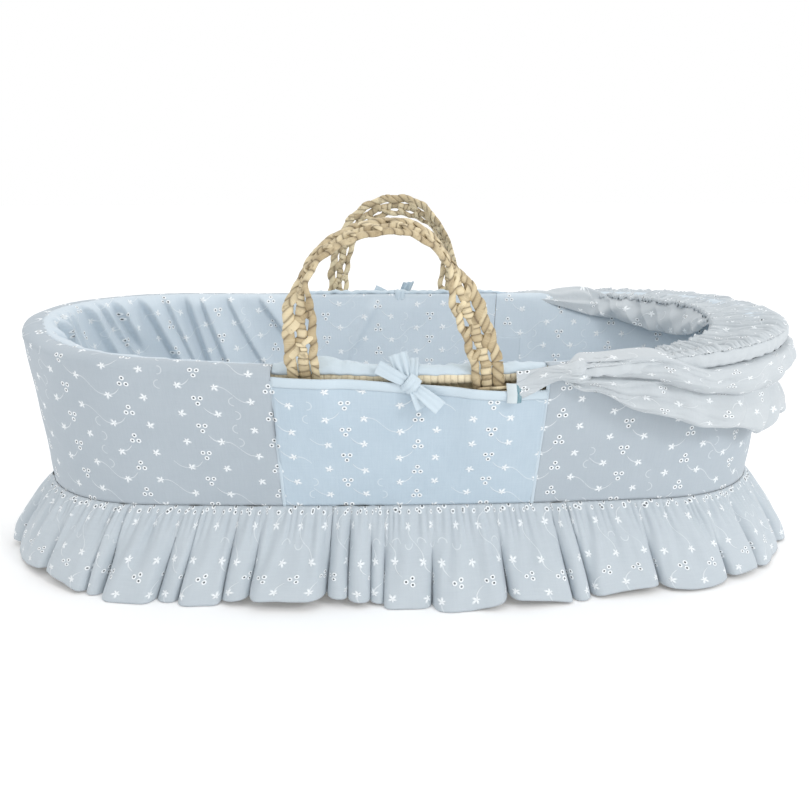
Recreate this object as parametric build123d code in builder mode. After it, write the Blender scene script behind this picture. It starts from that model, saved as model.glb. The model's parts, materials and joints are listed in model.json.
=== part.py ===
from build123d import *
import math
import os

# Moses basket. Millimetres; +X is the head end with the hood, -Y the front long side, +Z up.
# The origin is on the floor under the middle of the basket.

# ---------------------------------------------------------------- driving dimensions
GAP = 0.3  # between neighbouring pieces
FAR = 600  # larger than half the basket in any direction

RIM_TOP = 259.0  # top of the rim at the middle of a long side
END_RISE = 13.0  # how much higher the rim is at the two ends
END_ROUNDNESS = 0.9  # radius of an end arc as a part of the oval's half width

BASE_SIZE = (392.0, 150.0)  # half length and half width of the basket, outside, at the floor
MOUTH_SIZE = (421.0, 214.0)  # the same at the rim
WALL_THICK = 9.0
WALL_BANDS = 8
MAT_THICK = 9.0

RIM_SECTION = 12.7  # across the leaf-wrapped rim
RIM_OVERHANG = 2.0  # how far the rim stands out past the wall
CANE = 6.0  # across the cane inside the rim and the hood's hoop

CLOTH = 1.5
SEAM_SIZE = (418.0, 178.0)  # skirt at the seam where the frill starts
SEAM_HEIGHT = 94.0
SEAM_DROP = -6.0  # the seam is lower at the ends
SKIRT_MOUTH_SIZE = (430.0, 226.0)
HEM_SIZE = (465.0, 226.0)
FOOT_SEAM_X = -135.0  # panel seams, which are also the ends of the handle slots
HEAD_SEAM_X = 138.0
SLOT_EDGE = 236.0  # top of the skirt's binding below the handles
LINING_SLOT_EDGE = 265.0
BINDING_TALL = 10.0

STRAP_WIDE = 33.0
CORD = 8.6  # across one wrapped cord of a handle
CORD_PITCH = (STRAP_WIDE - CORD) / 2
HANDLE_PIVOT = (221.0, 266.0)  # distance from the middle plane, and height
FOOT_THICK = 4.5
FOOT_BOTTOM = 150.0
FOOT_TOP = 260.0
FRONT_FEET = (-98.5, 84.5)  # middles of the two legs
BACK_FEET = (-84.5, 70.5)
# Corner points of each handle's middle line in the XZ plane, and the radii of its corners.
FRONT_ARCH = [(-98.5, 266), (-98.5, 338), (-50, 386), (-2, 386), (58, 318), (84.5, 277), (84.5, 266)]
FRONT_RADII = [40, 50, 50, 60, 32]
BACK_ARCH = [(-84.5, 266), (-84.5, 330), (-45, 379.5), (31, 379.5), (70.5, 330), (70.5, 266)]
BACK_RADII = [45, 60, 60, 45]
WEFT_STEPS = 11
WEFT_LENGTH = 9.0
WEFT_THICK = 1.0

HOOD_PIVOT = (160.0, 250.0)  # x and z of the hood's axis
HOOD_TILT = 2.4  # degrees that the folded hood climbs towards the head end
HOOP_SIZE = (443.0, 237.5)  # middle line of the hoop, as an oval about the basket's middle
CHANNEL_WIDE = 10.0
CHANNEL_TALL = 20.0
CHANNEL_START = 18.0  # from the hood's axis
EYE_RADIUS = 6.5
EYE_HOLE = 2.6
BAND_START = 20.0
BAND_LOW = 15.3  # underside of the pleated band above the hoop's plane
BAND_THICK = 5.0
BAND_EDGE_RADIUS = 205.0
BAND_EDGE_CENTRE = -5.0
ELASTIC_INSET = 4.0
ELASTIC_RADIUS = 1.2
CROWN_BULGE = 24.0

MATTRESS_SIZE = (370.0, 140.0)
MATTRESS_THICK = 40.0
COVER = 1.2


# ---------------------------------------------------------------- shared shapes
def oval_arcs(size):
    """Radii and joints of an oval of four tangent arcs: (end radius, side radius, joint x, joint y)."""
    half_length, half_width = size
    end_radius = END_ROUNDNESS * half_width
    reach = half_length - end_radius
    side_radius = (reach**2 + half_width**2 - end_radius**2) / (2 * (half_width - end_radius))
    share = end_radius / (side_radius - end_radius)
    return end_radius, side_radius, reach * (1 + share), share * (side_radius - half_width)


def half_width_at(size, x):
    """Half width of such an oval at a place x on one of its long sides."""
    side_radius = oval_arcs(size)[1]
    return math.sqrt(side_radius**2 - x**2) - side_radius + size[1]


def oval(size, plane, centre_x=0.0):
    """The face of such an oval on a plane, with its middle at centre_x."""
    half_length, half_width = size
    joint_x, joint_y = oval_arcs(size)[2:]
    with BuildSketch(plane) as face:
        with BuildLine():
            ThreePointArc(
                (centre_x + joint_x, -joint_y),
                (centre_x + half_length, 0),
                (centre_x + joint_x, joint_y),
            )
            ThreePointArc(
                (centre_x + joint_x, joint_y),
                (centre_x, half_width),
                (centre_x - joint_x, joint_y),
            )
            ThreePointArc(
                (centre_x - joint_x, joint_y),
                (centre_x - half_length, 0),
                (centre_x - joint_x, -joint_y),
            )
            ThreePointArc(
                (centre_x - joint_x, -joint_y),
                (centre_x, -half_width),
                (centre_x + joint_x, -joint_y),
            )
        make_face()
    return face.sketch


def grow(size, distance):
    """An oval's size with both half lengths increased."""
    return (size[0] + distance, size[1] + distance)


class Flare:
    """An upright surface whose oval changes evenly in size between two heights."""

    def __init__(self, low, low_size, high, high_size):
        self.low = low
        self.low_size = low_size
        self.high = high
        self.high_size = high_size

    def size(self, height):
        """The oval's size at a height."""
        share = (height - self.low) / (self.high - self.low)
        return tuple(a + (b - a) * share for a, b in zip(self.low_size, self.high_size))

    def grown(self, distance):
        """The same surface moved outwards."""
        return Flare(self.low, grow(self.low_size, distance), self.high, grow(self.high_size, distance))

    def faces(self, low, high):
        """The two ovals that bound it, for a loft."""
        return [oval(self.size(z), Plane.XY.offset(z)) for z in (low, high)]


def rise_at(height):
    """How much a level line in the wall climbs towards the ends."""
    return END_RISE * height / RIM_TOP


def edge_curve(height, rise):
    """A side view of a level line that climbs towards the ends, from one end to the other."""
    reach = MOUTH_SIZE[0]
    climb = rise * (FAR / reach) ** 2
    if rise == 0:
        Line((-FAR, height), (FAR, height))
    else:
        ThreePointArc((-FAR, height + climb), (0, height), (FAR, height + climb))
    return climb


def saddle_shell(outside, inside, low, high, low_rise, high_rise):
    """The space between two flares, or all of the first with no second, cut off along climbing lines."""
    top = high + max(high_rise, 0) + 4
    bottom = low + min(low_rise, 0) - 4
    with BuildPart() as shell:
        loft(outside.faces(bottom, top))
        if inside:
            loft(inside.faces(bottom, top), mode=Mode.SUBTRACT)
        with BuildSketch(Plane.XZ) as side:
            with BuildLine():
                low_climb = edge_curve(low, low_rise)
                high_climb = edge_curve(high, high_rise)
                Line((-FAR, low + low_climb), (-FAR, high + high_climb))
                Line((FAR, low + low_climb), (FAR, high + high_climb))
            make_face()
        extrude(amount=FAR, both=True, mode=Mode.INTERSECT)
    return shell.part


def keep_box(x_range, y_range, z_range=(-FAR, FAR)):
    """Keep only what lies inside a box, in the part being built."""
    middle = [(low + high) / 2 for low, high in (x_range, y_range, z_range)]
    spans = [high - low for low, high in (x_range, y_range, z_range)]
    with Locations(tuple(middle)):
        Box(*spans, mode=Mode.INTERSECT)


def box_cut(solid, x_range, y_range, z_range=(-FAR, FAR)):
    """The part of a solid that lies inside a box."""
    with BuildPart() as cut:
        add(solid)
        keep_box(x_range, y_range, z_range)
    return cut.part


def save(part, name):
    """Label a finished piece and write its file."""
    part.label = name
    export_step(part, f"parts/{name}.step")


os.makedirs("parts", exist_ok=True)

FRONT = (-FAR, 0)  # the half of space at the front
BACK = (0, FAR)
SIDES = {"front": FRONT, "back": BACK}
FOOT_END = (-FAR, FOOT_SEAM_X - GAP / 2)
MIDDLE = (FOOT_SEAM_X + GAP / 2, HEAD_SEAM_X - GAP / 2)
HEAD_END = (HEAD_SEAM_X + GAP / 2, FAR)

wall_outside = Flare(0, BASE_SIZE, RIM_TOP, MOUTH_SIZE)
wall_inside = wall_outside.grown(-WALL_THICK)


# ---------------------------------------------------------------- woven basket
with BuildPart() as base_mat:
    loft(wall_outside.grown(-WALL_THICK - GAP).faces(0, MAT_THICK))
save(base_mat.part, "base_mat")

rim_bottom = RIM_TOP - RIM_SECTION
band_tall = (rim_bottom - GAP) / WALL_BANDS
for number in range(WALL_BANDS):
    band_bottom = number * band_tall
    band_top = (number + 1) * band_tall - GAP
    wall_band = saddle_shell(
        wall_outside, wall_inside, band_bottom, band_top, rise_at(band_bottom), rise_at(band_top)
    )
    save(wall_band, f"wall_band_{number + 1}")

rim_outside = wall_outside.grown(RIM_OVERHANG)
rim_inside = rim_outside.grown(-RIM_SECTION)
cane_inset = (RIM_SECTION - CANE) / 2
rim_cane = saddle_shell(
    rim_outside.grown(-cane_inset),
    rim_inside.grown(cane_inset),
    rim_bottom + cane_inset,
    RIM_TOP - cane_inset,
    END_RISE,
    END_RISE,
)
save(rim_cane, "rim_cane")

wrap_hollow = saddle_shell(
    rim_outside.grown(GAP - cane_inset),
    rim_inside.grown(cane_inset - GAP),
    rim_bottom + cane_inset - GAP,
    RIM_TOP - cane_inset + GAP,
    END_RISE,
    END_RISE,
)
with BuildPart() as rim_wrap:
    add(saddle_shell(rim_outside, rim_inside, rim_bottom, RIM_TOP, rise_at(rim_bottom), END_RISE))
    add(wrap_hollow, mode=Mode.SUBTRACT)
save(rim_wrap.part, "rim_wrap")

# Each handle leg goes on down the outside of the wall as a flat foot.
foot_inside = Flare(
    FOOT_BOTTOM,
    grow(wall_outside.size(FOOT_BOTTOM), GAP),
    RIM_TOP,
    grow(rim_outside.size(RIM_TOP), GAP),
)
foot_outside = foot_inside.grown(FOOT_THICK)
foot_shell = saddle_shell(foot_outside, foot_inside, FOOT_BOTTOM, FOOT_TOP, 0, 0)
lashing_shell = saddle_shell(
    foot_outside.grown(GAP + 1), foot_outside.grown(GAP), SLOT_EDGE + 6, FOOT_TOP - 4, 0, 0
)
FEET = {"front": FRONT_FEET, "back": BACK_FEET}
for side, feet in FEET.items():
    for end, foot_x in zip(("left", "right"), feet):
        with BuildPart() as foot:
            add(foot_shell)
            keep_box((foot_x - STRAP_WIDE / 2, foot_x + STRAP_WIDE / 2), SIDES[side])
        save(foot.part, f"handle_{side}_foot_{end}")
    with BuildPart() as lashings:
        for foot_x in feet:
            lashing_range = (foot_x - STRAP_WIDE / 2 - 2, foot_x + STRAP_WIDE / 2 + 2)
            add(box_cut(lashing_shell, lashing_range, SIDES[side]))
    save(lashings.part, f"foot_lashings_{side}")


# ---------------------------------------------------------------- skirt and frill
skirt_outside = Flare(SEAM_HEIGHT, SEAM_SIZE, RIM_TOP, SKIRT_MOUTH_SIZE)
skirt_inside = skirt_outside.grown(-CLOTH)
lining_outside = Flare(
    0,
    grow(BASE_SIZE, -WALL_THICK - 2 * GAP),
    RIM_TOP,
    grow(rim_inside.size(RIM_TOP), -GAP),
)
lining_inside = lining_outside.grown(-CLOTH)

skirt_low = SEAM_HEIGHT + GAP
roll_top = RIM_TOP + GAP + 2 * CLOTH
skirt_and_roll = saddle_shell(skirt_outside, lining_inside, skirt_low, roll_top, SEAM_DROP, END_RISE)
below_roll = saddle_shell(skirt_inside, None, skirt_low - 20, RIM_TOP + GAP, SEAM_DROP, END_RISE)
for name, end_range in (("skirt_foot_end", FOOT_END), ("skirt_head_end", HEAD_END)):
    with BuildPart() as skirt_end:
        add(skirt_and_roll)
        add(below_roll, mode=Mode.SUBTRACT)
        keep_box(end_range, (-FAR, FAR))
    save(skirt_end.part, name)

skirt_slotted = saddle_shell(
    skirt_outside, skirt_inside, skirt_low, SLOT_EDGE - BINDING_TALL - GAP, SEAM_DROP, 0
)
skirt_binding = saddle_shell(
    skirt_outside.grown(0.5), skirt_inside, SLOT_EDGE - BINDING_TALL, SLOT_EDGE, 0, 0
)
for side, half in SIDES.items():
    with BuildPart() as skirt_panel:
        add(skirt_slotted)
        keep_box(MIDDLE, half)
    save(skirt_panel.part, f"skirt_{side}")
    with BuildPart() as binding:
        add(skirt_binding)
        keep_box(MIDDLE, half)
    save(binding.part, f"skirt_binding_{side}")

frill_outside = Flare(0, HEM_SIZE, SEAM_HEIGHT, SEAM_SIZE)
frill = saddle_shell(frill_outside, frill_outside.grown(-2 * CLOTH), 0, SEAM_HEIGHT, 0, SEAM_DROP)
save(frill, "frill")


# ---------------------------------------------------------------- lining
with BuildPart() as lining_floor:
    loft(lining_inside.grown(-GAP).faces(MAT_THICK + GAP, MAT_THICK + GAP + CLOTH))
save(lining_floor.part, "lining_floor")

lining_low = MAT_THICK + GAP
lining_tall = saddle_shell(lining_outside, lining_inside, lining_low, RIM_TOP, 0, END_RISE)
for name, end_range in (("lining_foot_end", FOOT_END), ("lining_head_end", HEAD_END)):
    with BuildPart() as lining_end:
        add(lining_tall)
        keep_box(end_range, (-FAR, FAR))
    save(lining_end.part, name)

lining_slotted = saddle_shell(
    lining_outside, lining_inside, lining_low, LINING_SLOT_EDGE - BINDING_TALL - GAP, 0, 0
)
lining_binding = saddle_shell(
    lining_outside,
    lining_inside.grown(-0.5),
    LINING_SLOT_EDGE - BINDING_TALL,
    LINING_SLOT_EDGE,
    0,
    0,
)
for side, half in SIDES.items():
    with BuildPart() as lining_panel:
        add(lining_slotted)
        keep_box(MIDDLE, half)
    save(lining_panel.part, f"lining_{side}")
    with BuildPart() as binding:
        add(lining_binding)
        keep_box(MIDDLE, half)
    save(binding.part, f"lining_binding_{side}")

# A blank care label sewn on the head end's lining, behind, beside the panel seam.
CARE_LABEL_START = HEAD_SEAM_X + 4
CARE_LABEL_WIDE = 34.0
label_shell = saddle_shell(
    lining_inside.grown(-GAP), lining_inside.grown(-GAP - 0.5), 165, 205, 0, 0
)
with BuildPart() as care_label:
    add(label_shell)
    keep_box((CARE_LABEL_START, CARE_LABEL_START + CARE_LABEL_WIDE), BACK)
save(care_label.part, "care_label")


# ---------------------------------------------------------------- ribbon ties at the handle slots
TIE_X = 8.0
TIE_WIDE = 12.0
tie_outside = rim_outside.grown(GAP + CLOTH)
tie_inside = rim_inside.grown(-GAP - CLOTH)
ribbon_outer = saddle_shell(tie_outside, rim_outside.grown(GAP), SLOT_EDGE + GAP, RIM_TOP + GAP, 0, 0)
ribbon_top = saddle_shell(
    tie_outside, rim_inside.grown(GAP), RIM_TOP + GAP, RIM_TOP + GAP + CLOTH, 0, 0
)
knot_shell = saddle_shell(tie_outside.grown(GAP + 6), tie_outside.grown(GAP), 246, 258, 0, 0)
tail_shell = saddle_shell(skirt_outside.grown(2.5), skirt_outside.grown(1), 214, 251, 0, 0)
for side, half in SIDES.items():
    ribbon_range = (TIE_X - TIE_WIDE / 2, TIE_X + TIE_WIDE / 2)
    with BuildPart() as ribbon:
        add(box_cut(ribbon_outer, ribbon_range, half))
        add(box_cut(ribbon_top, ribbon_range, half))
    save(ribbon.part, f"tie_{side}_ribbon")
    with BuildPart() as knot:
        add(box_cut(knot_shell, (TIE_X - TIE_WIDE / 2 - 1, TIE_X + TIE_WIDE / 2 + 1), half))
        add(box_cut(tail_shell, (TIE_X - 4, TIE_X + 10), half))
    save(knot.part, f"tie_{side}_knot")


# ---------------------------------------------------------------- handles
def arch_line(points, radii, shift, y):
    """One cord's middle line: the arch moved sideways in its own plane, at a distance y."""
    with BuildLine(Plane.XZ.offset(-y)) as line:
        FilletPolyline(*points, radius=radii)
        if shift > 0:
            offset(amount=shift, side=Side.LEFT, closed=False, mode=Mode.REPLACE)
        if shift < 0:
            offset(amount=-shift, side=Side.RIGHT, closed=False, mode=Mode.REPLACE)
    return line.line


HANDLES = {
    "front": (FRONT_ARCH, FRONT_RADII, -HANDLE_PIVOT[0]),
    "back": (BACK_ARCH, BACK_RADII, HANDLE_PIVOT[0]),
}
for side, (points, radii, handle_y) in HANDLES.items():
    for number, shift in enumerate((CORD_PITCH, 0, -CORD_PITCH)):
        path = arch_line(points, radii, shift, handle_y)
        with BuildPart() as cord:
            with BuildSketch(Plane(origin=path @ 0, z_dir=path % 0)):
                Circle(CORD / 2)
            sweep(path=path)
            with Locations(path @ 0, path @ 1):
                Sphere(CORD / 2)
        save(cord.part, f"handle_{side}_cord_{number + 1}")

    middle_line = arch_line(points, radii, 0, handle_y)
    face_distance = CORD / 2 + GAP / 2 + WEFT_THICK / 2
    with BuildPart() as weft:
        for step in range(1, WEFT_STEPS + 1):
            share = step / (WEFT_STEPS + 1)
            along = middle_line % share
            place = Plane(origin=middle_line @ share, x_dir=along, z_dir=(0, 1, 0))
            for face in (-face_distance, face_distance):
                with BuildSketch(place.offset(face - WEFT_THICK / 2)):
                    Rectangle(WEFT_LENGTH, STRAP_WIDE)
                extrude(amount=WEFT_THICK)
    save(weft.part, f"handle_{side}_weft")


# ---------------------------------------------------------------- hood
tilt = math.radians(HOOD_TILT)
hood_plane = Plane(
    origin=(HOOD_PIVOT[0], 0, HOOD_PIVOT[1]),
    x_dir=(math.cos(tilt), 0, math.sin(tilt)),
    z_dir=(-math.sin(tilt), 0, math.cos(tilt)),
)


def hoop_line(start):
    """The hoop's middle line from a distance start past the axis, round the head end and back."""
    half_length = HOOP_SIZE[0]
    joint_x, joint_y = oval_arcs(HOOP_SIZE)[2:]
    start_x = HOOD_PIVOT[0] + start
    middle_x = (start_x + joint_x) / 2
    start_y = half_width_at(HOOP_SIZE, start_x)
    middle_y = half_width_at(HOOP_SIZE, middle_x)
    shift = -HOOD_PIVOT[0]
    with BuildLine(hood_plane) as line:
        ThreePointArc((start, -start_y), (middle_x + shift, -middle_y), (joint_x + shift, -joint_y))
        ThreePointArc(
            (joint_x + shift, -joint_y), (half_length + shift, 0), (joint_x + shift, joint_y)
        )
        ThreePointArc((joint_x + shift, joint_y), (middle_x + shift, middle_y), (start, start_y))
    return line.line


def hoop_rod(radius, start):
    """A round rod along the hoop's middle line."""
    path = hoop_line(start)
    with BuildPart() as rod:
        with BuildSketch(Plane(origin=path @ 0, z_dir=path % 0)):
            Circle(radius)
        sweep(path=path)
    return rod.part


def hood_ring(outer_size, inner_size, low, high, start):
    """A flat piece that follows the hoop, from a distance start past the axis."""
    with BuildPart() as ring:
        with BuildSketch(hood_plane.offset(low)):
            add(oval(outer_size, Plane.XY, -HOOD_PIVOT[0]))
            if inner_size:
                add(oval(inner_size, Plane.XY, -HOOD_PIVOT[0]), mode=Mode.SUBTRACT)
            with Locations((start + FAR / 2, 0)):
                Rectangle(FAR, 2 * FAR, mode=Mode.INTERSECT)
        extrude(amount=high - low)
    return ring.part


hoop_end_y = half_width_at(HOOP_SIZE, HOOD_PIVOT[0])
with BuildPart() as hood_hoop:
    add(hoop_rod(CANE / 2, EYE_RADIUS - 1))
    for end_y in (-hoop_end_y, hoop_end_y):
        with BuildSketch(Plane.XZ.offset(-end_y - CANE / 2)):
            with Locations(HOOD_PIVOT):
                Circle(EYE_RADIUS)
        extrude(amount=CANE)
        with BuildSketch(Plane.XZ.offset(-end_y - CANE)):
            with Locations(HOOD_PIVOT):
                Circle(EYE_HOLE)
        extrude(amount=2 * CANE, mode=Mode.SUBTRACT)
save(hood_hoop.part, "hood_hoop")

channel_outer = grow(HOOP_SIZE, CHANNEL_WIDE / 2)
channel_inner = grow(HOOP_SIZE, -CHANNEL_WIDE / 2)
with BuildPart() as hood_channel:
    add(hood_ring(channel_outer, channel_inner, -CHANNEL_TALL / 2, CHANNEL_TALL / 2, CHANNEL_START))
    add(hoop_rod(CANE / 2 + GAP, 0), mode=Mode.SUBTRACT)
save(hood_channel.part, "hood_channel")

edge_plane = hood_plane.offset(BAND_LOW + BAND_THICK / 2)
elastic_ends = 78  # degrees either side of the hood's middle
elastic_path_radius = BAND_EDGE_RADIUS + ELASTIC_INSET


def elastic_rod(radius, ends):
    """A round rod along the elastic's line."""
    with BuildLine(edge_plane) as line:
        CenterArc((BAND_EDGE_CENTRE, 0), elastic_path_radius, -ends, 2 * ends)
    path = line.line
    with BuildPart() as rod:
        with BuildSketch(Plane(origin=path @ 0, z_dir=path % 0)):
            Circle(radius)
        sweep(path=path)
    return rod.part


with BuildPart() as hood_band:
    add(hood_ring(channel_outer, None, BAND_LOW, BAND_LOW + BAND_THICK, BAND_START))
    with BuildSketch(hood_plane.offset(BAND_LOW - 1)):
        with Locations((BAND_EDGE_CENTRE, 0)):
            Circle(BAND_EDGE_RADIUS)
    extrude(amount=BAND_THICK + 2, mode=Mode.SUBTRACT)
    add(hood_ring(channel_outer, channel_inner, CHANNEL_TALL / 2 + GAP, BAND_LOW, BAND_START))
    add(elastic_rod(ELASTIC_RADIUS + GAP, elastic_ends + 0.5), mode=Mode.SUBTRACT)
save(hood_band.part, "hood_band")
save(elastic_rod(ELASTIC_RADIUS, elastic_ends), "hood_edge_elastic")

# The crown's cloth is bunched round the outside of the head end, below the hoop.
crown_inside = skirt_outside.grown(1)
crown_outside = Flare(
    SEAM_HEIGHT,
    (SEAM_SIZE[0] + CROWN_BULGE + 12, SEAM_SIZE[1] + CROWN_BULGE * 0.7),
    RIM_TOP,
    (SKIRT_MOUTH_SIZE[0] + CROWN_BULGE, SKIRT_MOUTH_SIZE[1] + CROWN_BULGE * 0.7),
)
crown_top = hood_plane.offset(-CHANNEL_TALL / 2 - 1)
with BuildPart() as hood_crown:
    loft(crown_outside.faces(140, 270))
    loft(crown_inside.faces(140, 270), mode=Mode.SUBTRACT)
    with BuildSketch(Plane.XZ):
        with BuildLine():
            Polyline((172, 300), (172, 230), (300, 194), (390, 160), (480, 154), (480, 300), close=True)
        make_face()
    extrude(amount=FAR, both=True, mode=Mode.INTERSECT)
    split(bisect_by=crown_top, keep=Keep.BOTTOM)
save(hood_crown.part, "hood_crown")

# At each corner a cloth tie goes through the hoop's eye and is sewn to the skirt beside the handle.
TIE_END_X = 108.0
PIN_RADIUS = 2.0
KNOT_RADIUS = 5.0
strand_shell = saddle_shell(skirt_outside.grown(GAP + 2), skirt_outside.grown(GAP), 243, 255, 0, 0)
tab_shell = saddle_shell(skirt_outside.grown(GAP + 4), skirt_outside.grown(GAP + 2.5), 222, 242, 0, 0)
for side, half in SIDES.items():
    outward = -1 if side == "front" else 1
    pin_start = half_width_at(skirt_outside.size(HOOD_PIVOT[1]), HOOD_PIVOT[0]) + 1
    pin_end = hoop_end_y + CANE / 2 + 1
    with BuildPart() as hood_tie:
        add(strand_shell)
        keep_box((TIE_END_X, HOOD_PIVOT[0] + 5), half)
        with BuildSketch(Plane.XZ.offset(-outward * pin_start)):
            with Locations(HOOD_PIVOT):
                Circle(PIN_RADIUS)
        extrude(amount=-outward * (pin_end - pin_start))
        with BuildSketch(Plane.XZ.offset(-outward * pin_end)):
            with Locations(HOOD_PIVOT):
                Circle(KNOT_RADIUS)
        extrude(amount=-outward * KNOT_RADIUS)
    save(hood_tie.part, f"hood_tie_{side}")

with BuildPart() as tab_label:
    add(tab_shell)
    keep_box((TIE_END_X + 2, TIE_END_X + 12), FRONT)
save(tab_label.part, "tab_label")


# ---------------------------------------------------------------- mattress
mattress_low = MAT_THICK + 2 * GAP + CLOTH
seam_height = mattress_low + MATTRESS_THICK / 2
mattress_side = Flare(0, MATTRESS_SIZE, RIM_TOP, MATTRESS_SIZE)
foam_side = mattress_side.grown(-COVER - GAP)
with BuildPart() as mattress_foam:
    loft(foam_side.faces(mattress_low + COVER + GAP, mattress_low + MATTRESS_THICK - COVER - GAP))
save(mattress_foam.part, "mattress_foam")

with BuildPart() as foam_space:
    loft(mattress_side.grown(-COVER).faces(mattress_low + COVER, mattress_low + MATTRESS_THICK - COVER))
COVER_HALVES = (
    ("mattress_cover_base", mattress_low, seam_height - GAP / 2),
    ("mattress_cover_top", seam_height + GAP / 2, mattress_low + MATTRESS_THICK),
)
for name, low, high in COVER_HALVES:
    with BuildPart() as cover:
        loft(mattress_side.faces(low, high))
        add(foam_space.part, mode=Mode.SUBTRACT)
    save(cover.part, name)
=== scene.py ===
import json
import math

import bpy
import numpy as np
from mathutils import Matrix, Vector


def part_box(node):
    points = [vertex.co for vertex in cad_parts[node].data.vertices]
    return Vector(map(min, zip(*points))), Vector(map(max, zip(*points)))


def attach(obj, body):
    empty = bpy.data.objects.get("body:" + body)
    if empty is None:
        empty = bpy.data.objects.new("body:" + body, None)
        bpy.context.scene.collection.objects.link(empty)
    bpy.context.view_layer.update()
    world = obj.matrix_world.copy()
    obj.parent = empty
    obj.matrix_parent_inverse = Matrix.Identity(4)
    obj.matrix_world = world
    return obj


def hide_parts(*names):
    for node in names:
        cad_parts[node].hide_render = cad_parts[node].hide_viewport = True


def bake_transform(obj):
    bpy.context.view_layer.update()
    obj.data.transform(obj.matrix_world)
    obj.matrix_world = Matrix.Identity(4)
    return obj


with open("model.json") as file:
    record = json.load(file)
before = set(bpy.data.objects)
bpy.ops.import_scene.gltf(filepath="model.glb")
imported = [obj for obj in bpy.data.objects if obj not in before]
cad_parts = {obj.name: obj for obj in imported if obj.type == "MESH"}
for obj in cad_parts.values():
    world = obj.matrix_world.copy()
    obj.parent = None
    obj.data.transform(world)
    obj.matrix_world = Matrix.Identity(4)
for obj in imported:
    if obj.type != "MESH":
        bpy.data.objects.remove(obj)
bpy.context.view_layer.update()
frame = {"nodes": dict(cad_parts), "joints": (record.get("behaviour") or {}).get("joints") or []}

# Metres, in the CAD frame: +X is the head end with the hood, -Y the front, +Z up.

# ------------------------------------------------------------------ sizes taken from the frame
rim_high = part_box("rim_wrap")[1]
hem_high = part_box("frill")[1]
seam_height = hem_high[2]
END_RISE = 0.013  # how much higher the rim is at the two ends
RIM_THICK = 0.0127
RIM_REACH = 0.4247  # half length at which the rise is measured
RIM_TOP = rim_high[2] - END_RISE
RIM_CENTRE = (rim_high[0] - RIM_THICK / 2, rim_high[1] - RIM_THICK / 2)
RIM_LEVEL = RIM_TOP - RIM_THICK / 2
SEAM = (0.418, 0.176)  # skirt at the seam
SEAM_DROP = -0.007
HEM = (hem_high[0] - 0.010, hem_high[1] - 0.010)
ROLL_ACROSS = 0.0133  # half width and half height of the cloth's roll over the rim
ROLL_UP = 0.0090
FOOT_SEAM_X = -0.135
HEAD_SEAM_X = 0.138
LINING_FLOOR = (0.381, 0.139)
OUTWARDS = {"front": -1.0, "back": 1.0}  # the direction of each side along Y


def joint_place(name):
    return next(joint for joint in frame["joints"] if joint["name"] == name)["pos_m"]


HOOD_X, _, HOOD_Z = joint_place("hood_raise")


# ------------------------------------------------------------------ shapes
class Oval:
    """An oval of four tangent arcs. u goes from 0 to 1 round it, from the head end by the back."""

    def __init__(self, half_length, half_width, roundness=0.9):
        self.a = half_length
        self.b = half_width
        self.r = roundness * half_width
        self.reach = half_length - self.r
        self.side = (self.reach**2 + half_width**2 - self.r**2) / (2 * (half_width - self.r))
        share = self.r / (self.side - self.r)
        self.turn = math.atan2(share * (self.side - half_width), share * self.reach)
        self.end_length = 2 * self.turn * self.r
        self.side_length = (math.pi - 2 * self.turn) * self.side
        self.length = 2 * (self.end_length + self.side_length)

    def at(self, u):
        """x, y and the outward direction at places u."""
        s = np.mod(np.asarray(u, float), 1) * self.length + self.end_length / 2
        s = np.mod(s, self.length)
        marks = np.cumsum([self.end_length, self.side_length, self.end_length])
        kind = np.searchsorted(marks, s, side="right")
        start = np.concatenate([[0], marks])[kind]
        radius = np.where(kind % 2 == 0, self.r, self.side)
        first = np.array([-self.turn, self.turn, math.pi - self.turn, math.pi + self.turn])[kind]
        angle = first + (s - start) / radius
        centre_x = np.array([self.reach, 0, -self.reach, 0])[kind]
        centre_y = np.array([0, self.b - self.side, 0, self.side - self.b])[kind]
        nx, ny = np.cos(angle), np.sin(angle)
        return centre_x + radius * nx, centre_y + radius * ny, nx, ny

    def u_at(self, x, front):
        """Where the long side passes x."""
        u = np.linspace(0.5, 1.0, 4001) if front else np.linspace(0.5, 0.0, 4001)
        return float(np.interp(x, self.at(u)[0], u))


def smooth(low, high, value):
    """0 below low and 1 above high, with an easy change between."""
    t = np.clip((np.asarray(value, float) - low) / (high - low), 0, 1)
    return t * t * (3 - 2 * t)


def bell(value, middle, width, power=2):
    """1 at the middle and less to both sides."""
    return np.exp(-(np.abs((value - middle) / width) ** power))


def humps(value, power):
    """Rounded ridges, one from each whole number to the next, with sharp valleys between."""
    return np.abs(np.sin(math.pi * value)) ** power


def squarer(wave, power):
    """A sine or cosine whose swings are made squarer."""
    return np.sign(wave) * np.abs(wave) ** power


def rise(x, amount=END_RISE):
    """How much a level line of the wall climbs at a distance x from the middle."""
    return amount * (x / RIM_REACH) ** 2


def ripples(s, h, seed, lengths, turn=math.pi):
    """A sum of soft waves between -1 and 1, of lengths between the two given, in directions within turn."""
    draw = np.random.default_rng(seed)
    total = np.zeros(np.broadcast(s, h).shape)
    count = 9
    for _ in range(count):
        length = draw.uniform(*lengths)
        angle = draw.uniform(-turn, turn) / 2
        phase = draw.uniform(0, 2 * math.pi)
        total += np.sin(2 * math.pi * (s * math.cos(angle) + h * math.sin(angle)) / length + phase)
    return total / math.sqrt(count) / 1.6


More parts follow.
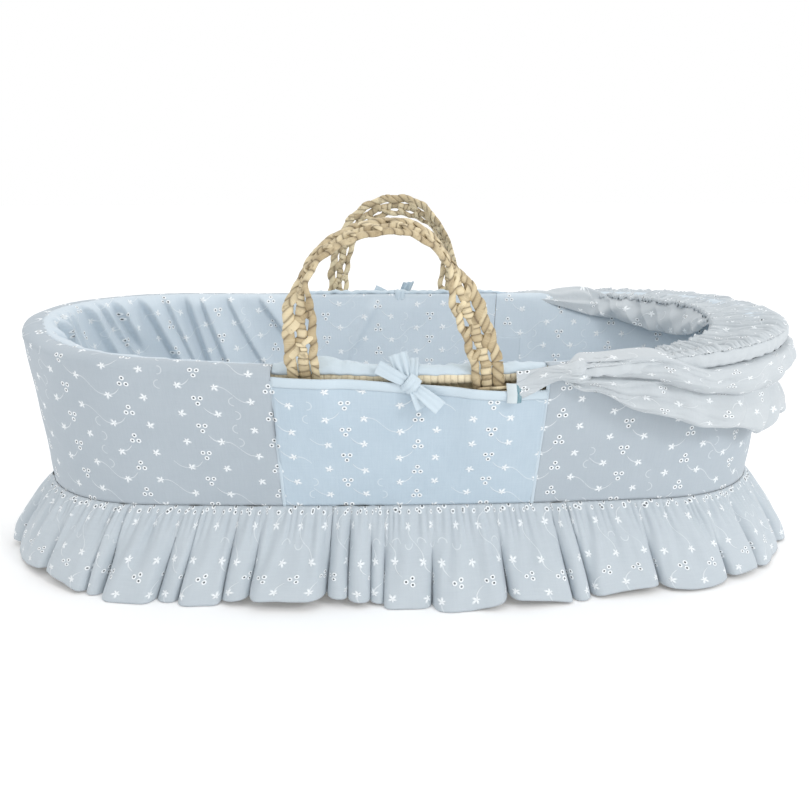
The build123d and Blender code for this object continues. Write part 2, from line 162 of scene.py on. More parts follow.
def crease(s, h, start, end, width, depth, steep=1.0, bend=0.0):
    """A raised fold line from start to end in the cloth, which fades out at both ends.

    With steep above 1 one of its sides is narrower by that factor and the other wider, and with bend the
    line bows sideways by that much in its middle."""
    (s0, h0), (s1, h1) = start, end
    along = np.array([s1 - s0, h1 - h0])
    length = np.linalg.norm(along)
    along = along / length
    t = (s - s0) * along[0] + (h - h0) * along[1]
    off = -(s - s0) * along[1] + (h - h0) * along[0]
    off = off - bend * 4 * (t / length) * (1 - t / length)
    ends = smooth(-0.1 * length, 0.2 * length, t) * (1 - smooth(0.55 * length, 1.1 * length, t))
    side_width = np.where(off > 0, width / steep, width * steep)
    return depth * ends * bell(off, 0, side_width)


def grid(first, second):
    """Two arrays that pair every value of first with every value of second."""
    return np.meshgrid(first, second, indexing="ij")


def shares(rows, columns, closed=False):
    """Two arrays of shares from 0 to 1 over a grid; a closed one stops short of its first column."""
    return grid(np.linspace(0, 1, rows), np.linspace(0, 1, columns, endpoint=not closed))


def xyz(*parts):
    """Points from arrays or numbers of x, y and z; with two parts, UVs."""
    return np.stack(np.broadcast_arrays(*parts), -1)


def unit(vectors):
    return vectors / np.linalg.norm(vectors, axis=-1, keepdims=True)


def arc_length(line):
    """Distance along a line of points, from its start to each of them."""
    return np.concatenate([[0], np.cumsum(np.linalg.norm(np.diff(line, axis=0), axis=-1))])


def everywhere(direction, line):
    """The same direction for each point of a line."""
    return np.tile(np.asarray(direction, float), (len(line), 1))


def link(obj):
    bpy.context.scene.collection.objects.link(obj)
    return obj


def make_mesh(name, points, faces, uvs=None, material=None, **values):
    """A smooth-shaded mesh with UVs in metres and, if given, named values for each point."""
    mesh = bpy.data.meshes.new(name)
    mesh.from_pydata(np.asarray(points, float).reshape(-1, 3).tolist(), [], faces)
    mesh.polygons.foreach_set("use_smooth", [True] * len(mesh.polygons))
    loops = np.zeros(len(mesh.loops), int)
    mesh.loops.foreach_get("vertex_index", loops)
    if uvs is not None:
        layer = mesh.uv_layers.new(name="UVMap")
        layer.data.foreach_set("uv", np.asarray(uvs, float).reshape(-1, 2)[loops].ravel())
    for key, numbers in values.items():
        attribute = mesh.attributes.new(key, "FLOAT", "POINT")
        attribute.data.foreach_set("value", np.asarray(numbers, float).ravel())
    if material:
        mesh.materials.append(material)
    mesh.update()
    return link(bpy.data.objects.new(name, mesh))


def grid_faces(rows, columns, close_rows=False, close_columns=False):
    """Quads over a grid of points whose rows come one after another."""
    faces = []
    for i in range(rows if close_rows else rows - 1):
        for j in range(columns if close_columns else columns - 1):
            i2, j2 = (i + 1) % rows, (j + 1) % columns
            faces.append((i * columns + j, i2 * columns + j, i2 * columns + j2, i * columns + j2))
    return faces


def tube_mesh(name, points, uvs, material, **values):
    """A tube with both ends closed, whose points are given as an array [along, around, xyz]."""
    rows, columns = points.shape[:2]
    faces = grid_faces(rows, columns, close_columns=True)
    faces.append(tuple(range(columns)))
    faces.append(tuple(range((rows - 1) * columns, rows * columns))[::-1])
    return make_mesh(name, points, faces, uvs, material, **values)


def grid_mesh(name, points, uvs, material, closed=False):
    """A sheet whose points are given as an array [along, up, xyz]."""
    rows, columns = points.shape[:2]
    return make_mesh(name, points, grid_faces(rows, columns, close_rows=closed), uvs, material)


def thicken(obj, thickness, offset=-1.0):
    """Give a sheet its cloth's thickness."""
    solidify = obj.modifiers.new("thickness", "SOLIDIFY")
    solidify.thickness = thickness
    solidify.offset = offset
    return obj


def place(obj, body, slot, *nodes):
    """Put a finished piece on its body and hide the CAD nodes that it stands for; its material slot is not
    used.
    """
    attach(obj, body)
    finish_piece(obj, slot, *nodes)
    return obj


def finish_piece(obj, slot, *nodes):
    if nodes:
        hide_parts(*nodes)


# ------------------------------------------------------------------ shader arithmetic
class Value:
    """A number in a shader that builds its Math nodes from ordinary arithmetic."""

    def __init__(self, tree, socket):
        self.tree = tree
        self.socket = socket

    def math(self, operation, *others, clamp=False):
        node = self.tree.nodes.new("ShaderNodeMath")
        node.operation = operation
        node.use_clamp = clamp
        for i, item in enumerate((self, *others)):
            if isinstance(item, Value):
                self.tree.links.new(item.socket, node.inputs[i])
            else:
                node.inputs[i].default_value = item
        return Value(self.tree, node.outputs[0])

    def __rsub__(self, other):
        return (self * -1) + other

    def wrap(self, low, high):
        return self.math("WRAP", high, low)

    def clamp(self):
        return self.math("ADD", 0.0, clamp=True)

    def below(self, low, high):
        """1 where this is under low, falling to 0 at high."""
        return ((high - self) / (high - low)).clamp()

    def length(self, other):
        return (self * self + other * other).math("SQRT")


def math_method(operation):
    def method(self, *others):
        return self.math(operation, *others)

    return method


for method_name, operation in (
    ("__add__", "ADD"),
    ("__radd__", "ADD"),
    ("__sub__", "SUBTRACT"),
    ("__mul__", "MULTIPLY"),
    ("__rmul__", "MULTIPLY"),
    ("__truediv__", "DIVIDE"),
    ("__abs__", "ABSOLUTE"),
    ("floor", "FLOOR"),
    ("sin", "SINE"),
    ("cos", "COSINE"),
    ("power", "POWER"),
    ("least", "MINIMUM"),
    ("most", "MAXIMUM"),
    ("angle", "ARCTAN2"),  # the angle whose sine is along this and cosine along the other
):
    setattr(Value, method_name, math_method(operation))


class Shader:
    """A material that is being built, with the parts that every material here needs."""

    def __init__(self, name, roughness=0.85):
        self.material = bpy.data.materials.new(name)
        self.material.use_nodes = True
        self.tree = self.material.node_tree
        self.surface = self.tree.nodes["Principled BSDF"]
        self.surface.inputs["Roughness"].default_value = roughness

    def node(self, kind, **values):
        node = self.tree.nodes.new(kind)
        for key, value in values.items():
            if key in node.inputs:
                node.inputs[key].default_value = value
            else:
                setattr(node, key, value)
        return node

    def coordinates(self, kind):
        """The three values of one of Blender's kinds of coordinates; UVs are in metres."""
        coordinates = self.node("ShaderNodeTexCoord")
        split = self.node("ShaderNodeSeparateXYZ")
        self.tree.links.new(coordinates.outputs[kind], split.inputs[0])
        return [Value(self.tree, split.outputs[i]) for i in range(3)]

    def uv(self):
        return self.coordinates("UV")[:2]

    def attribute(self, name):
        node = self.node("ShaderNodeAttribute", attribute_name=name)
        return Value(self.tree, node.outputs["Fac"])

    def point(self, *values):
        """A vector made of up to three values."""
        node = self.node("ShaderNodeCombineXYZ")
        for i, value in enumerate(values):
            if isinstance(value, Value):
                self.tree.links.new(value.socket, node.inputs[i])
            else:
                node.inputs[i].default_value = value
        return node.outputs[0]

    def noise(self, vector, scale, detail=2.0):
        node = self.node("ShaderNodeTexNoise", Scale=scale, Detail=detail)
        self.tree.links.new(vector, node.inputs["Vector"])
        return Value(self.tree, node.outputs["Fac"])

    def chance(self, vector):
        """A random number that is the same all over a cell."""
        node = self.node("ShaderNodeTexWhiteNoise", noise_dimensions="3D")
        self.tree.links.new(vector, node.inputs["Vector"])
        return Value(self.tree, node.outputs["Value"])

    def blend(self, share, first, second):
        """A colour between two others; each is a tuple or a socket."""
        node = self.node("ShaderNodeMix", data_type="RGBA")
        self.tree.links.new(share.socket, node.inputs["Factor"])
        for socket, colour in ((node.inputs[6], first), (node.inputs[7], second)):
            if isinstance(colour, tuple):
                socket.default_value = (*colour, 1.0)
            else:
                self.tree.links.new(colour, socket)
        return node.outputs[2]

    def colour(self, socket):
        self.tree.links.new(socket, self.surface.inputs["Base Color"])

    def bump(self, height, distance):
        node = self.node("ShaderNodeBump", Strength=1.0, Distance=distance)
        self.tree.links.new(height.socket, node.inputs["Height"])
        self.tree.links.new(node.outputs[0], self.surface.inputs["Normal"])


# ------------------------------------------------------------------ materials
COLUMN = 0.074  # between columns of eyelets
ROW = 0.0340  # between motifs in a column
FLOWER_OFF = 0.019  # flowers beside each column
FRILL_CUT = 0.105  # height of the frill's cloth
FRILL_SHIFT = 0.007  # where its rows of sprigs lie
EDGE_EYELETS = 0.016  # between the single eyelets along the frill's seam
HOLE_EDGE = (0.0008, 0.00125)  # distances from an eyelet's middle over which its hole ends
RING_EDGE = (0.0023, 0.0030)  # and over which the worked ring ends
STITCH_EDGE = (0.00035, 0.0009)  # and a stem, from its middle line
CURL_RADIUS = 0.0050
COTTON = (0.530, 0.625, 0.700)
COTTON_SHADE = (0.415, 0.515, 0.600)
THREAD = (0.88, 0.92, 0.945)
# Eyelet holes are painted near black: painted shade of the dark inside seen through them.
HOLE_SHADE = (0.05, 0.055, 0.06)


def add_weave(shader, across, up):
    """Height of a plain weave with slubs: threads about half a millimetre apart."""
    thread = 2 * math.pi / 0.0006
    weave = (across * thread).sin() * (up * thread).sin()
    slub = shader.noise(shader.point(across * 620, up * 45, 0.0), 1.0, 2.0)
    slub_across = shader.noise(shader.point(across * 45, up * 480, 3.0), 1.0, 2.0)
    return weave * 0.1 + slub * 0.55 + slub_across * 0.35


def eyelet_cotton(name, cotton=COTTON, shade=COTTON_SHADE, turned=False):
    """White cotton with sprigs: columns of three eyelets, with flowers either side and fine stems, and
    painted shade in the eyelets' holes.
    """
    shader = Shader(name, 0.9)
    across, up = shader.uv()
    if turned:
        edge_row = up
        across, up = up + FRILL_SHIFT, across
    column = (across / COLUMN).floor()
    odd = column.wrap(0.0, 2.0)
    x = across - (column + 0.5) * COLUMN
    shifted = up + odd * (ROW / 2)
    y = shifted.wrap(-ROW / 2, ROW / 2)
    row = ((shifted + ROW / 2) / ROW).floor()
    flip = 1 - odd * 2
    y_turned = y * flip

    # Three eyelets in a triangle, each a hole in a worked ring.
    upper = (abs(x) - 0.0034).length(y_turned - 0.0027)
    lower = x.length(y_turned + 0.0040)
    to_hole = upper.least(lower)
    if turned:
        single_x = (up / EDGE_EYELETS - (up / EDGE_EYELETS).floor() - 0.5) * EDGE_EYELETS
        to_hole = to_hole.least(single_x.length(edge_row - (FRILL_CUT - 0.0065)))
    hole = to_hole.below(*HOLE_EDGE)
    ring = to_hole.below(*RING_EDGE) * (1 - hole)

    # Flowers on both sides of the column, half a row on, each with five petals of uneven length.
    flower_y = (shifted + ROW / 2).wrap(-ROW / 2, ROW / 2)
    flower_row = ((shifted + ROW) / ROW).floor()
    side = (x / COLUMN + 1).floor()
    flower_x = abs(x) - FLOWER_OFF
    spin = shader.chance(shader.point(column, flower_row, side))
    around = flower_y.angle(flower_x)
    bearing = around * 2.5 + spin * 6.3
    uneven = (around + spin * 19).cos() * 0.0013 + 0.0035
    reach = abs(bearing.cos()).power(0.9) * uneven + 0.0012
    flower = (flower_x.length(flower_y) / reach).below(0.6, 1.1)

    # A curved stem from one flower of each pair to the eyelets above it.
    share = abs(x) / FLOWER_OFF
    path = (1 - share) * (ROW / 2) - (share * math.pi).sin() * 0.0050
    on_path = abs(flower_y - path).below(*STITCH_EDGE)
    which = shader.chance(shader.point(column, row, 5.0))
    one_side = abs(side - (which * 2).floor()).below(0.2, 0.4)
    stem = on_path * one_side * share.below(0.9, 1.0) * (1 - share.below(0.25, 0.35))

    # A longer one that goes on from a flower to that of the next column.
    gap = COLUMN / 2 - FLOWER_OFF
    far = (abs(x) - FLOWER_OFF) / gap
    drift = side * 2 - 1
    bend = (far * math.pi).sin() * 0.0035 - far * (ROW / 4)
    on_bend = abs(flower_y - bend * drift).below(*STITCH_EDGE)
    linked = shader.chance(shader.point((across / COLUMN + 0.5).floor(), flower_row, 2.0)).below(0.45, 0.5)
    tendril = on_bend * linked * (1 - far.below(0.15, 0.25)) * far.below(0.98, 1.0)

    # Now and then a curl where two columns meet.
    curl_x = abs(x) - COLUMN / 2
    curl_size = abs(curl_x.length(y) - CURL_RADIUS)
    some = shader.chance(shader.point((across / COLUMN + 0.5).floor(), row, 9.0)).below(0.35, 0.4)
    curl = curl_size.below(0.0003, 0.0008) * some

    worked = ring.most(flower).most(stem * 0.5).most(tendril * 0.35).most(curl * 0.35)
    cloudy = shader.noise(shader.point(across * 14, up * 14, 1.0), 1.0, 3.0)
    threads = add_weave(shader, across, up)
    base = shader.blend((cloudy * 0.6 + threads * 1.1 - 0.35).clamp(), shade, cotton)
    embroidered = shader.blend(worked, base, THREAD)
    # Painted shade in the holes, darker in some than in others.
    depth = shader.chance(shader.point(column, row, 7.0)) * 0.45 + 0.5
    shader.colour(shader.blend(hole * depth, embroidered, HOLE_SHADE))
    satin = (bearing * 3).sin() * 0.15
    shader.bump(threads * 0.25 + worked * (1 + satin) - hole * 1.5, 0.0005)
    shader.surface.inputs["Sheen Weight"].default_value = 0.15
    return shader.material


def plain_cotton(name, light, dark, crinkle=0.0):
    """Plain white cotton tape or cloth, with its weave and a little crinkle."""
    shader = Shader(name, 0.88)
    across, up = shader.uv()
    threads = add_weave(shader, across, up)
    folds = shader.noise(shader.point(across * 60, up * 25, 2.0), 1.0, 3.0)
    shader.colour(shader.blend((threads * 0.6 + folds * 0.5).clamp(), dark, light))
    shader.bump(threads * 0.3 + folds * crinkle, 0.0006)
    shader.surface.inputs["Sheen Weight"].default_value = 0.15
    return shader.material


TAB_WIDE = 0.0145


def striped_tab(name, white, teal):
    """White tape with a plain teal stripe down its outer edge."""
    shader = Shader(name, 0.75)
    across, up = shader.uv()
    stripe = 1 - across.below(TAB_WIDE * 0.66, TAB_WIDE * 0.70)
    worn = shader.noise(shader.point(across * 700, up * 260, 0.0), 1.0, 2.0)
    shader.colour(shader.blend(stripe * (1.15 - worn * 0.7).clamp(), white, teal))
    shader.bump(add_weave(shader, across, up), 0.0003)
    return shader.material


def dry_leaf(name, light, mid, dark, fibres=1400.0):
    """Dry palm leaf: fine fibres along each strip, blotches, a tint of its own for every strip, and painted
    shade in the grooves between turns.
    """
    shader = Shader(name, 0.55)
    along, across = shader.uv()
    tint = shader.attribute("tint")
    groove = shader.attribute("groove")
    fibre = shader.noise(shader.point(along * 45, across * fibres, tint * 40), 1.0, 3.0)
    blotch = shader.noise(shader.point(along * 120, across * 120, tint * 17), 1.0, 3.0)
    share = (fibre * 0.6 + tint * 0.8 + blotch * 0.4 - 0.45).clamp()
    two = shader.blend(share, mid, light)
    stain = blotch.below(0.26, 0.42) * 0.5
    # The leaf is darkened by painted shade in the grooves between turns and by the blotches' stains.
    shader.colour(shader.blend((groove * 0.9).most(stain), two, dark))
    shader.bump(fibre + blotch * 0.3, 0.0005)
    shader.surface.inputs["Specular IOR Level"].default_value = 0.35
    return shader.material


def woven_leaf(name, light, dark, strip=0.011):
    """Plaited leaf for the wall and the base, which the cloth hides: strips over and under."""
    shader = Shader(name, 0.7)
    x, y, z = shader.coordinates("Object")
    around = y.angle(x) * 0.35
    row = (z / strip).floor()
    slant = (around + z * 0.8 + row * (strip / 2)) / strip
    cell = slant.floor()
    inside = slant - cell
    across = z / strip - row
    hump = (inside * math.pi).sin() * (across * math.pi).sin()
    fibre = shader.noise(shader.point(around * 90, z * 1500, cell * 0.31), 1.0, 2.0)
    own = shader.chance(shader.point(cell, row, 0.0))
    shader.colour(shader.blend((own * 0.6 + fibre * 0.4).clamp(), dark, light))
    shader.bump(hump + fibre * 0.15, 0.002)
    return shader.material


def flat_weave(name, light, dark, strip=0.012):
    """Plaited leaf laid flat, for the mat under the basket."""
    shader = Shader(name, 0.7)
    x, y, _ = shader.coordinates("Object")
    column, line = (x / strip).floor(), (y / strip).floor()
    over = (column + line).wrap(0.0, 2.0)
    hump_x = ((x / strip - column) * math.pi).sin()
    hump_y = ((y / strip - line) * math.pi).sin()
    hump = hump_x * over + hump_y * (1 - over)
    own = shader.chance(shader.point(column * over, line * (1 - over), over))
    fibre = shader.noise(shader.point(x * 200, y * 1200, over), 1.0, 2.0)
    shader.colour(shader.blend((own * 0.6 + fibre * 0.4).clamp(), dark, light))
    shader.bump(hump + fibre * 0.2, 0.0025)
    return shader.material


LEAF_LIGHT = (0.82, 0.71, 0.48)
LEAF_MID = (0.44, 0.345, 0.205)
LEAF_DARK = (0.11, 0.07, 0.035)
skirt_cotton = eyelet_cotton("skirt_cotton")
# The end panels' copy of the same eyelet cotton is darker and greyer, as painted shade.
painted_shade_end_cotton = eyelet_cotton("painted_shade_end_cotton", (0.460, 0.515, 0.560), (0.385, 0.440, 0.490))
frill_cotton = eyelet_cotton("frill_cotton", (0.545, 0.600, 0.640), (0.460, 0.515, 0.560), turned=True)
# The lining's copy is lighter, as painted light to make up for the shade inside the basket.
painted_light_lining_cloth = eyelet_cotton("painted_light_lining_cloth", (0.620, 0.695, 0.755), (0.530, 0.610, 0.675))
hood_cotton = eyelet_cotton("hood_cotton", (0.550, 0.590, 0.615), (0.485, 0.525, 0.555))
hood_plain = plain_cotton("hood_plain", (0.560, 0.600, 0.625), (0.490, 0.530, 0.560), 0.5)
tape = plain_cotton("tape", (0.600, 0.695, 0.760), (0.520, 0.615, 0.685), 0.6)
seam_cloth = plain_cotton("seam_cloth", (0.570, 0.660, 0.725), (0.500, 0.590, 0.660))
mattress_cloth = plain_cotton("mattress_cloth", (0.62, 0.66, 0.69), (0.57, 0.61, 0.65), 0.3)
care_satin = plain_cotton("care_satin", (0.56, 0.635, 0.70), (0.53, 0.61, 0.675))
tab_cloth = striped_tab("tab_cloth", (0.60, 0.67, 0.70), (0.07, 0.20, 0.25))
leaf_strip = dry_leaf("leaf_strip", LEAF_LIGHT, LEAF_MID, LEAF_DARK)
# The rim's leaf is a lighter copy of the handles', with lighter grooves: painted light to make up for the
# shade it lies in below the casing.
painted_light_rim_leaf = dry_leaf("painted_light_rim_leaf", (0.90, 0.81, 0.60), (0.72, 0.62, 0.44), (0.34, 0.26, 0.17), 900.0)
plaited_leaf = woven_leaf("plaited_leaf", LEAF_LIGHT, LEAF_MID)
mat_leaf = flat_weave("mat_leaf", LEAF_LIGHT, LEAF_MID)


# ------------------------------------------------------------------ camera, floor and light
CAMERA_DISTANCE = 1.1576
CAMERA_HEIGHT = 0.4728
CAMERA_ASIDE = 0.003
CAMERA_YAW = 0.035
CAMERA_PITCH = 0.266
FOCAL_PIXELS = 983.0
FRAME_PIXELS = 809.0
SENSOR = 36.0

cos_yaw, sin_yaw = math.cos(CAMERA_YAW), math.sin(CAMERA_YAW)
camera = bpy.data.objects.new("camera", bpy.data.cameras.new("camera"))
camera.data.sensor_width = SENSOR
camera.data.lens = FOCAL_PIXELS / FRAME_PIXELS * SENSOR
camera.location = (
    cos_yaw * CAMERA_ASIDE - sin_yaw * CAMERA_DISTANCE,
    -sin_yaw * CAMERA_ASIDE - cos_yaw * CAMERA_DISTANCE,
    CAMERA_HEIGHT,
)
camera.rotation_euler = (math.pi / 2 - CAMERA_PITCH, 0, -CAMERA_YAW)
link(camera)
bpy.context.scene.camera = camera


def area_light(name, at, target, size, power, colour=(1, 1, 1)):
    light = bpy.data.lights.new(name, "AREA")
    light.shape = "DISK"
    light.size = size
    light.energy = power
    light.color = colour
    obj = link(bpy.data.objects.new(name, light))
    obj.location = at
    obj.rotation_euler = (Vector(target) - Vector(at)).to_track_quat("-Z", "Y").to_euler()
    return obj


area_light("key_light", (1.8, -1.9, 1.7), (0, 0, 0.15), 0.7, 20)
area_light("top_light", (0.3, 0.9, 2.3), (0, 0, 0.1), 1.2, 6)

world = bpy.data.worlds.new("studio")
world.use_nodes = True
world.node_tree.nodes["Background"].inputs["Color"].default_value = (1.0, 1.0, 1.0, 1.0)
world.node_tree.nodes["Background"].inputs["Strength"].default_value = 1.0
bpy.context.scene.world = world
bpy.context.scene.view_settings.view_transform = "Standard"

floor_paint = Shader("floor_paint", 0.9)
floor_paint.surface.inputs["Base Color"].default_value = (0.93, 0.93, 0.93, 1)
floor_paint.surface.inputs["Emission Color"].default_value = (1, 1, 1, 1)
floor_paint.surface.inputs["Emission Strength"].default_value = 0.12
FLOOR = 6.0
floor_corners = [(-FLOOR, -FLOOR, 0), (FLOOR, -FLOOR, 0), (FLOOR, FLOOR, 0), (-FLOOR, FLOOR, 0)]
floor = make_mesh("floor", floor_corners, [(0, 1, 2, 3)], material=floor_paint.material)


# ------------------------------------------------------------------ skirt
rim_oval = Oval(*RIM_CENTRE)
seam_oval = Oval(*SEAM)
hem_oval = Oval(*HEM)
U_FRONT_FOOT = rim_oval.u_at(FOOT_SEAM_X, front=True)
U_FRONT_HEAD = rim_oval.u_at(HEAD_SEAM_X, front=True)
U_BACK_FOOT = rim_oval.u_at(FOOT_SEAM_X, front=False)
U_BACK_HEAD = rim_oval.u_at(HEAD_SEAM_X, front=False)
CLOTH = 0.0009  # thickness
SKIRT_STEP = 0.004  # between the mesh's points round the end panels
SKIRT_UP = 0.165  # cloth from the seam to where it starts to roll over the rim
ROLL_START = math.radians(-18)
ROLL_END = math.radians(232)
FRONT_SAG = 0.0085
FULLNESS = 0.0050
SEAM_HALF_WIDE = 0.0021


def rim_level(x, ny):
    """Height of the rim's middle line: it climbs to the ends, and hangs a little along the front."""
    return RIM_LEVEL + rise(x) - FRONT_SAG * smooth(0.05, 0.75, -ny)


def frame_at(u):
    """The rim's middle line at places u, with the outward direction."""
    x, y, nx, ny = rim_oval.at(u)
    return xyz(x, y, rim_level(x, ny)), xyz(nx, ny, 0)


def seam_bottom(x):
    """Height of the seam between the skirt and the frill."""
    return seam_height + rise(x, SEAM_DROP)


def seam_at(u):
    x, y, _, _ = seam_oval.at(u)
    return xyz(x, y, seam_bottom(x))


def fullness(out):
    """How much further the cloth stands off the rim round the foot end."""
    return FULLNESS * smooth(0.2, 1.0, -out[..., 0])


def wall_points(u, share):
    """Points of the cloth outside the wall: share 0 at the seam and 1 where it meets the roll."""
    centre, out = frame_at(u)
    top = centre + out * ((ROLL_ACROSS + fullness(out)) * math.cos(ROLL_START))[..., None]
    top[..., 2] += ROLL_UP * math.sin(ROLL_START)
    foot = seam_at(u)
    return foot + (top - foot) * share[..., None]


def roll_points(u, angle, proud=0.0):
    """Points of the cloth where it rolls over the rim, by the angle up from outwards."""
    centre, out = frame_at(u)
    outside = np.clip(np.cos(angle), 0, 1)
    points = centre + out * ((ROLL_ACROSS + proud) * np.cos(angle) + fullness(out) * outside)[..., None]
    points[..., 2] += (ROLL_UP + proud) * np.sin(angle)
    return points


def skirt_end(name, u_range, folds):
    """A panel that goes up from the seam and over the rim at one end of the basket."""
    along = np.linspace(*u_range, int(arc_of(u_range) / SKIRT_STEP))
    share = np.linspace(0, 1, 40)
    angle = np.linspace(ROLL_START, ROLL_END, 22)[1:]
    u_low, v_low = grid(along, share)
    u_high, v_high = grid(along, angle)
    points = np.concatenate([wall_points(u_low, v_low), roll_points(u_high, v_high)], axis=1)
    u_all = np.concatenate([u_low, u_high], axis=1)
    radius = (ROLL_ACROSS + ROLL_UP) / 2
    h = np.concatenate([v_low * SKIRT_UP, SKIRT_UP + (v_high - ROLL_START) * radius], axis=1)
    s = u_all * rim_oval.length
    _, out = frame_at(u_all)
    turned = np.concatenate([0 * v_low, v_high], axis=1)
    direction = out * np.cos(turned)[..., None]
    direction[..., 2] += np.sin(turned)
    points = points + direction * folds(s, h)[..., None]
    return grid_mesh(name, points, xyz(s, h), painted_shade_end_cotton)


def soft_folds(seed, amount=0.0012):
    """Slack in a panel, less at the seam, with small gathers where it turns down inside the rim."""

    def folds(s, h):
        slack = smooth(0, 0.03, h) * (1 - 0.6 * smooth(SKIRT_UP - 0.02, SKIRT_UP, h))
        inside = smooth(SKIRT_UP + 0.012, SKIRT_UP + 0.035, h)
        gathers = 0.0011 * inside * ripples(s, h * 0.3, seed + 60, (0.010, 0.030), 0.6)
        return slack * ripples(s, h, seed, (0.05, 0.16)) * amount + gathers

    return folds


FOOT_RANGE = (U_BACK_FOOT, U_FRONT_FOOT)
HEAD_RANGE = (U_FRONT_HEAD, 1 + U_BACK_HEAD)
LONG_RANGE = {"front": (U_FRONT_FOOT, U_FRONT_HEAD), "back": (U_BACK_HEAD, U_BACK_FOOT)}


def arc_of(u_range):
    """Length of rim between two places."""
    return abs(u_range[1] - u_range[0]) * rim_oval.length


skirt_foot = skirt_end("skirt_foot_end_cloth", FOOT_RANGE, soft_folds(11))
skirt_head = skirt_end("skirt_head_end_cloth", HEAD_RANGE, soft_folds(12))
for panel, node, u_range in (
    (skirt_foot, "skirt_foot_end", FOOT_RANGE),
    (skirt_head, "skirt_head_end", HEAD_RANGE),
):
    place(thicken(panel, CLOTH), "basket", "eyelet_cotton", node)


def panel_seam(name, u_seam):
    """A narrow felled seam between two panels, from the frill up to the roll over the rim."""
    half = SEAM_HALF_WIDE / rim_oval.length
    rows = np.linspace(0, 1, 60)
    u, share = grid(u_seam + np.linspace(-half, half, 5), rows)
    _, out = frame_at(u)
    edge = np.cos(np.linspace(-1, 1, 5) * math.pi / 2)[:, None]
    proud = 0.0003 + 0.0008 * edge + 0 * share
    points = wall_points(u, 0.99 * share) + out * proud[..., None]
    s = (u - u_seam) * rim_oval.length
    seam = grid_mesh(name, points, xyz(s, share * SKIRT_UP), seam_cloth)
    return place(thicken(seam, 0.0004), "basket", "plain_cotton")


seams = [
    panel_seam("seam_front_foot", U_FRONT_FOOT),
    panel_seam("seam_front_head", U_FRONT_HEAD),
    panel_seam("seam_back_foot", U_BACK_FOOT),
    panel_seam("seam_back_head", U_BACK_HEAD),
]

# The long panels stop below the rim, at the slot for the handles.
TAPE_TALL = 0.0105
PUSHED_X = {"front": (-0.1030, 0.0815), "back": (-0.0840, 0.0710)}  # where the strap feet push it out
FEET_PUSH = 0.0066


SLOT_HEIGHT = {"front": 0.2455, "back": 0.243}
SLOT_FALL = {"front": 0.0165, "back": 0.009}


def slot_edge(x, side):
    """Height of the slot's edge in the long panels: it falls from the foot end to the head end."""
    return SLOT_HEIGHT[side] - SLOT_FALL[side] * smooth(-0.11, 0.14, x)


def long_panel(side, low, high, out_by, name, material, rows, seed, tall=None):
    """A strip of a long side's cloth, between two functions of x that give its heights.

    Its pattern is at the height of the skirt's, unless its own height is given."""
    u, v = grid(np.linspace(*LONG_RANGE[side], 90), np.linspace(0, 1, rows))
    x, _, _, ny = rim_oval.at(u)
    bottom = seam_at(u)[..., 2]
    top = rim_level(x, ny) + ROLL_UP * math.sin(ROLL_START)
    z = low(x) + (high(x) - low(x)) * v
    share = (z - bottom) / (top - bottom)
    s = u * rim_oval.length
    h = share * SKIRT_UP
    _, out = frame_at(u)
    belly = 0.0015 * np.sin(math.pi * np.clip(share, 0, 1))
    loose = ripples(s, h, seed, (0.05, 0.15)) * 0.0016 * smooth(0, 0.02, h)
    points = wall_points(u, share) + out * (out_by(x, v) + belly + loose)[..., None]
    return grid_mesh(name, points, xyz(s, v * tall if tall else h), material)


def over_feet(x, side):
    """How far the strap feet under the cloth push it out."""
    return FEET_PUSH * sum(bell(x, foot, 0.030, power=4) for foot in PUSHED_X[side])


def long_side(side, seed):
    """A long panel, and the binding along its edge at the slot."""

    def edge(x):
        return slot_edge(x, side)

    def tape_foot(x):
        return edge(x) - TAPE_TALL

    def under_tape(x):
        return tape_foot(x) + 0.001

    def panel_out(x, v):
        return over_feet(x, side) * smooth(0.3, 1.0, v)

    def tape_out(x, v):
        return over_feet(x, side) + 0.0004 + 0.0009 * np.sin(math.pi * v)

    name = f"skirt_{side}_cloth"
    panel = long_panel(side, seam_bottom, under_tape, panel_out, name, skirt_cotton, 40, seed)
    place(thicken(panel, CLOTH), "basket", "eyelet_cotton", f"skirt_{side}")
    name = f"skirt_binding_{side}_tape"
    binding = long_panel(side, tape_foot, edge, tape_out, name, tape, 7, seed, TAPE_TALL)
    place(thicken(binding, 2 * CLOTH), "basket", "plain_cotton", f"skirt_binding_{side}")


long_side("front", 21)
long_side("back", 22)


# ------------------------------------------------------------------ frill
FOLD_OUT = 0.026  # how far a fold of middling size stands out at the hem
VALLEY_IN = 0.012
HEM_UP = 0.0006
BROAD_FOLDS = 0.52  # share of the folds that are broad and flat in front


def frill_folds(length):
    """Uneven folds round the frill: where each begins, how far it stands out, and how flat its front is."""
    draw = np.random.default_rng(5)
    widths, sizes, flats = [], [], []
    while sum(widths) < length:
        if draw.uniform() < BROAD_FOLDS:
            widths.append(draw.uniform(0.045, 0.098))
            sizes.append(draw.uniform(0.65, 1.15))
            flats.append(draw.uniform(3.5, 7.0))
        else:
            widths.append(draw.uniform(0.016, 0.034))
            sizes.append(draw.uniform(0.35, 1.0))
            flats.append(2.0)
    widths = np.array(widths) * length / sum(widths)
    marks = np.concatenate([[0], np.cumsum(widths)])
    valleys = draw.uniform(0.25, 1.2, len(widths))
    return marks, np.array(sizes), np.array(flats), np.append(valleys, valleys[0])


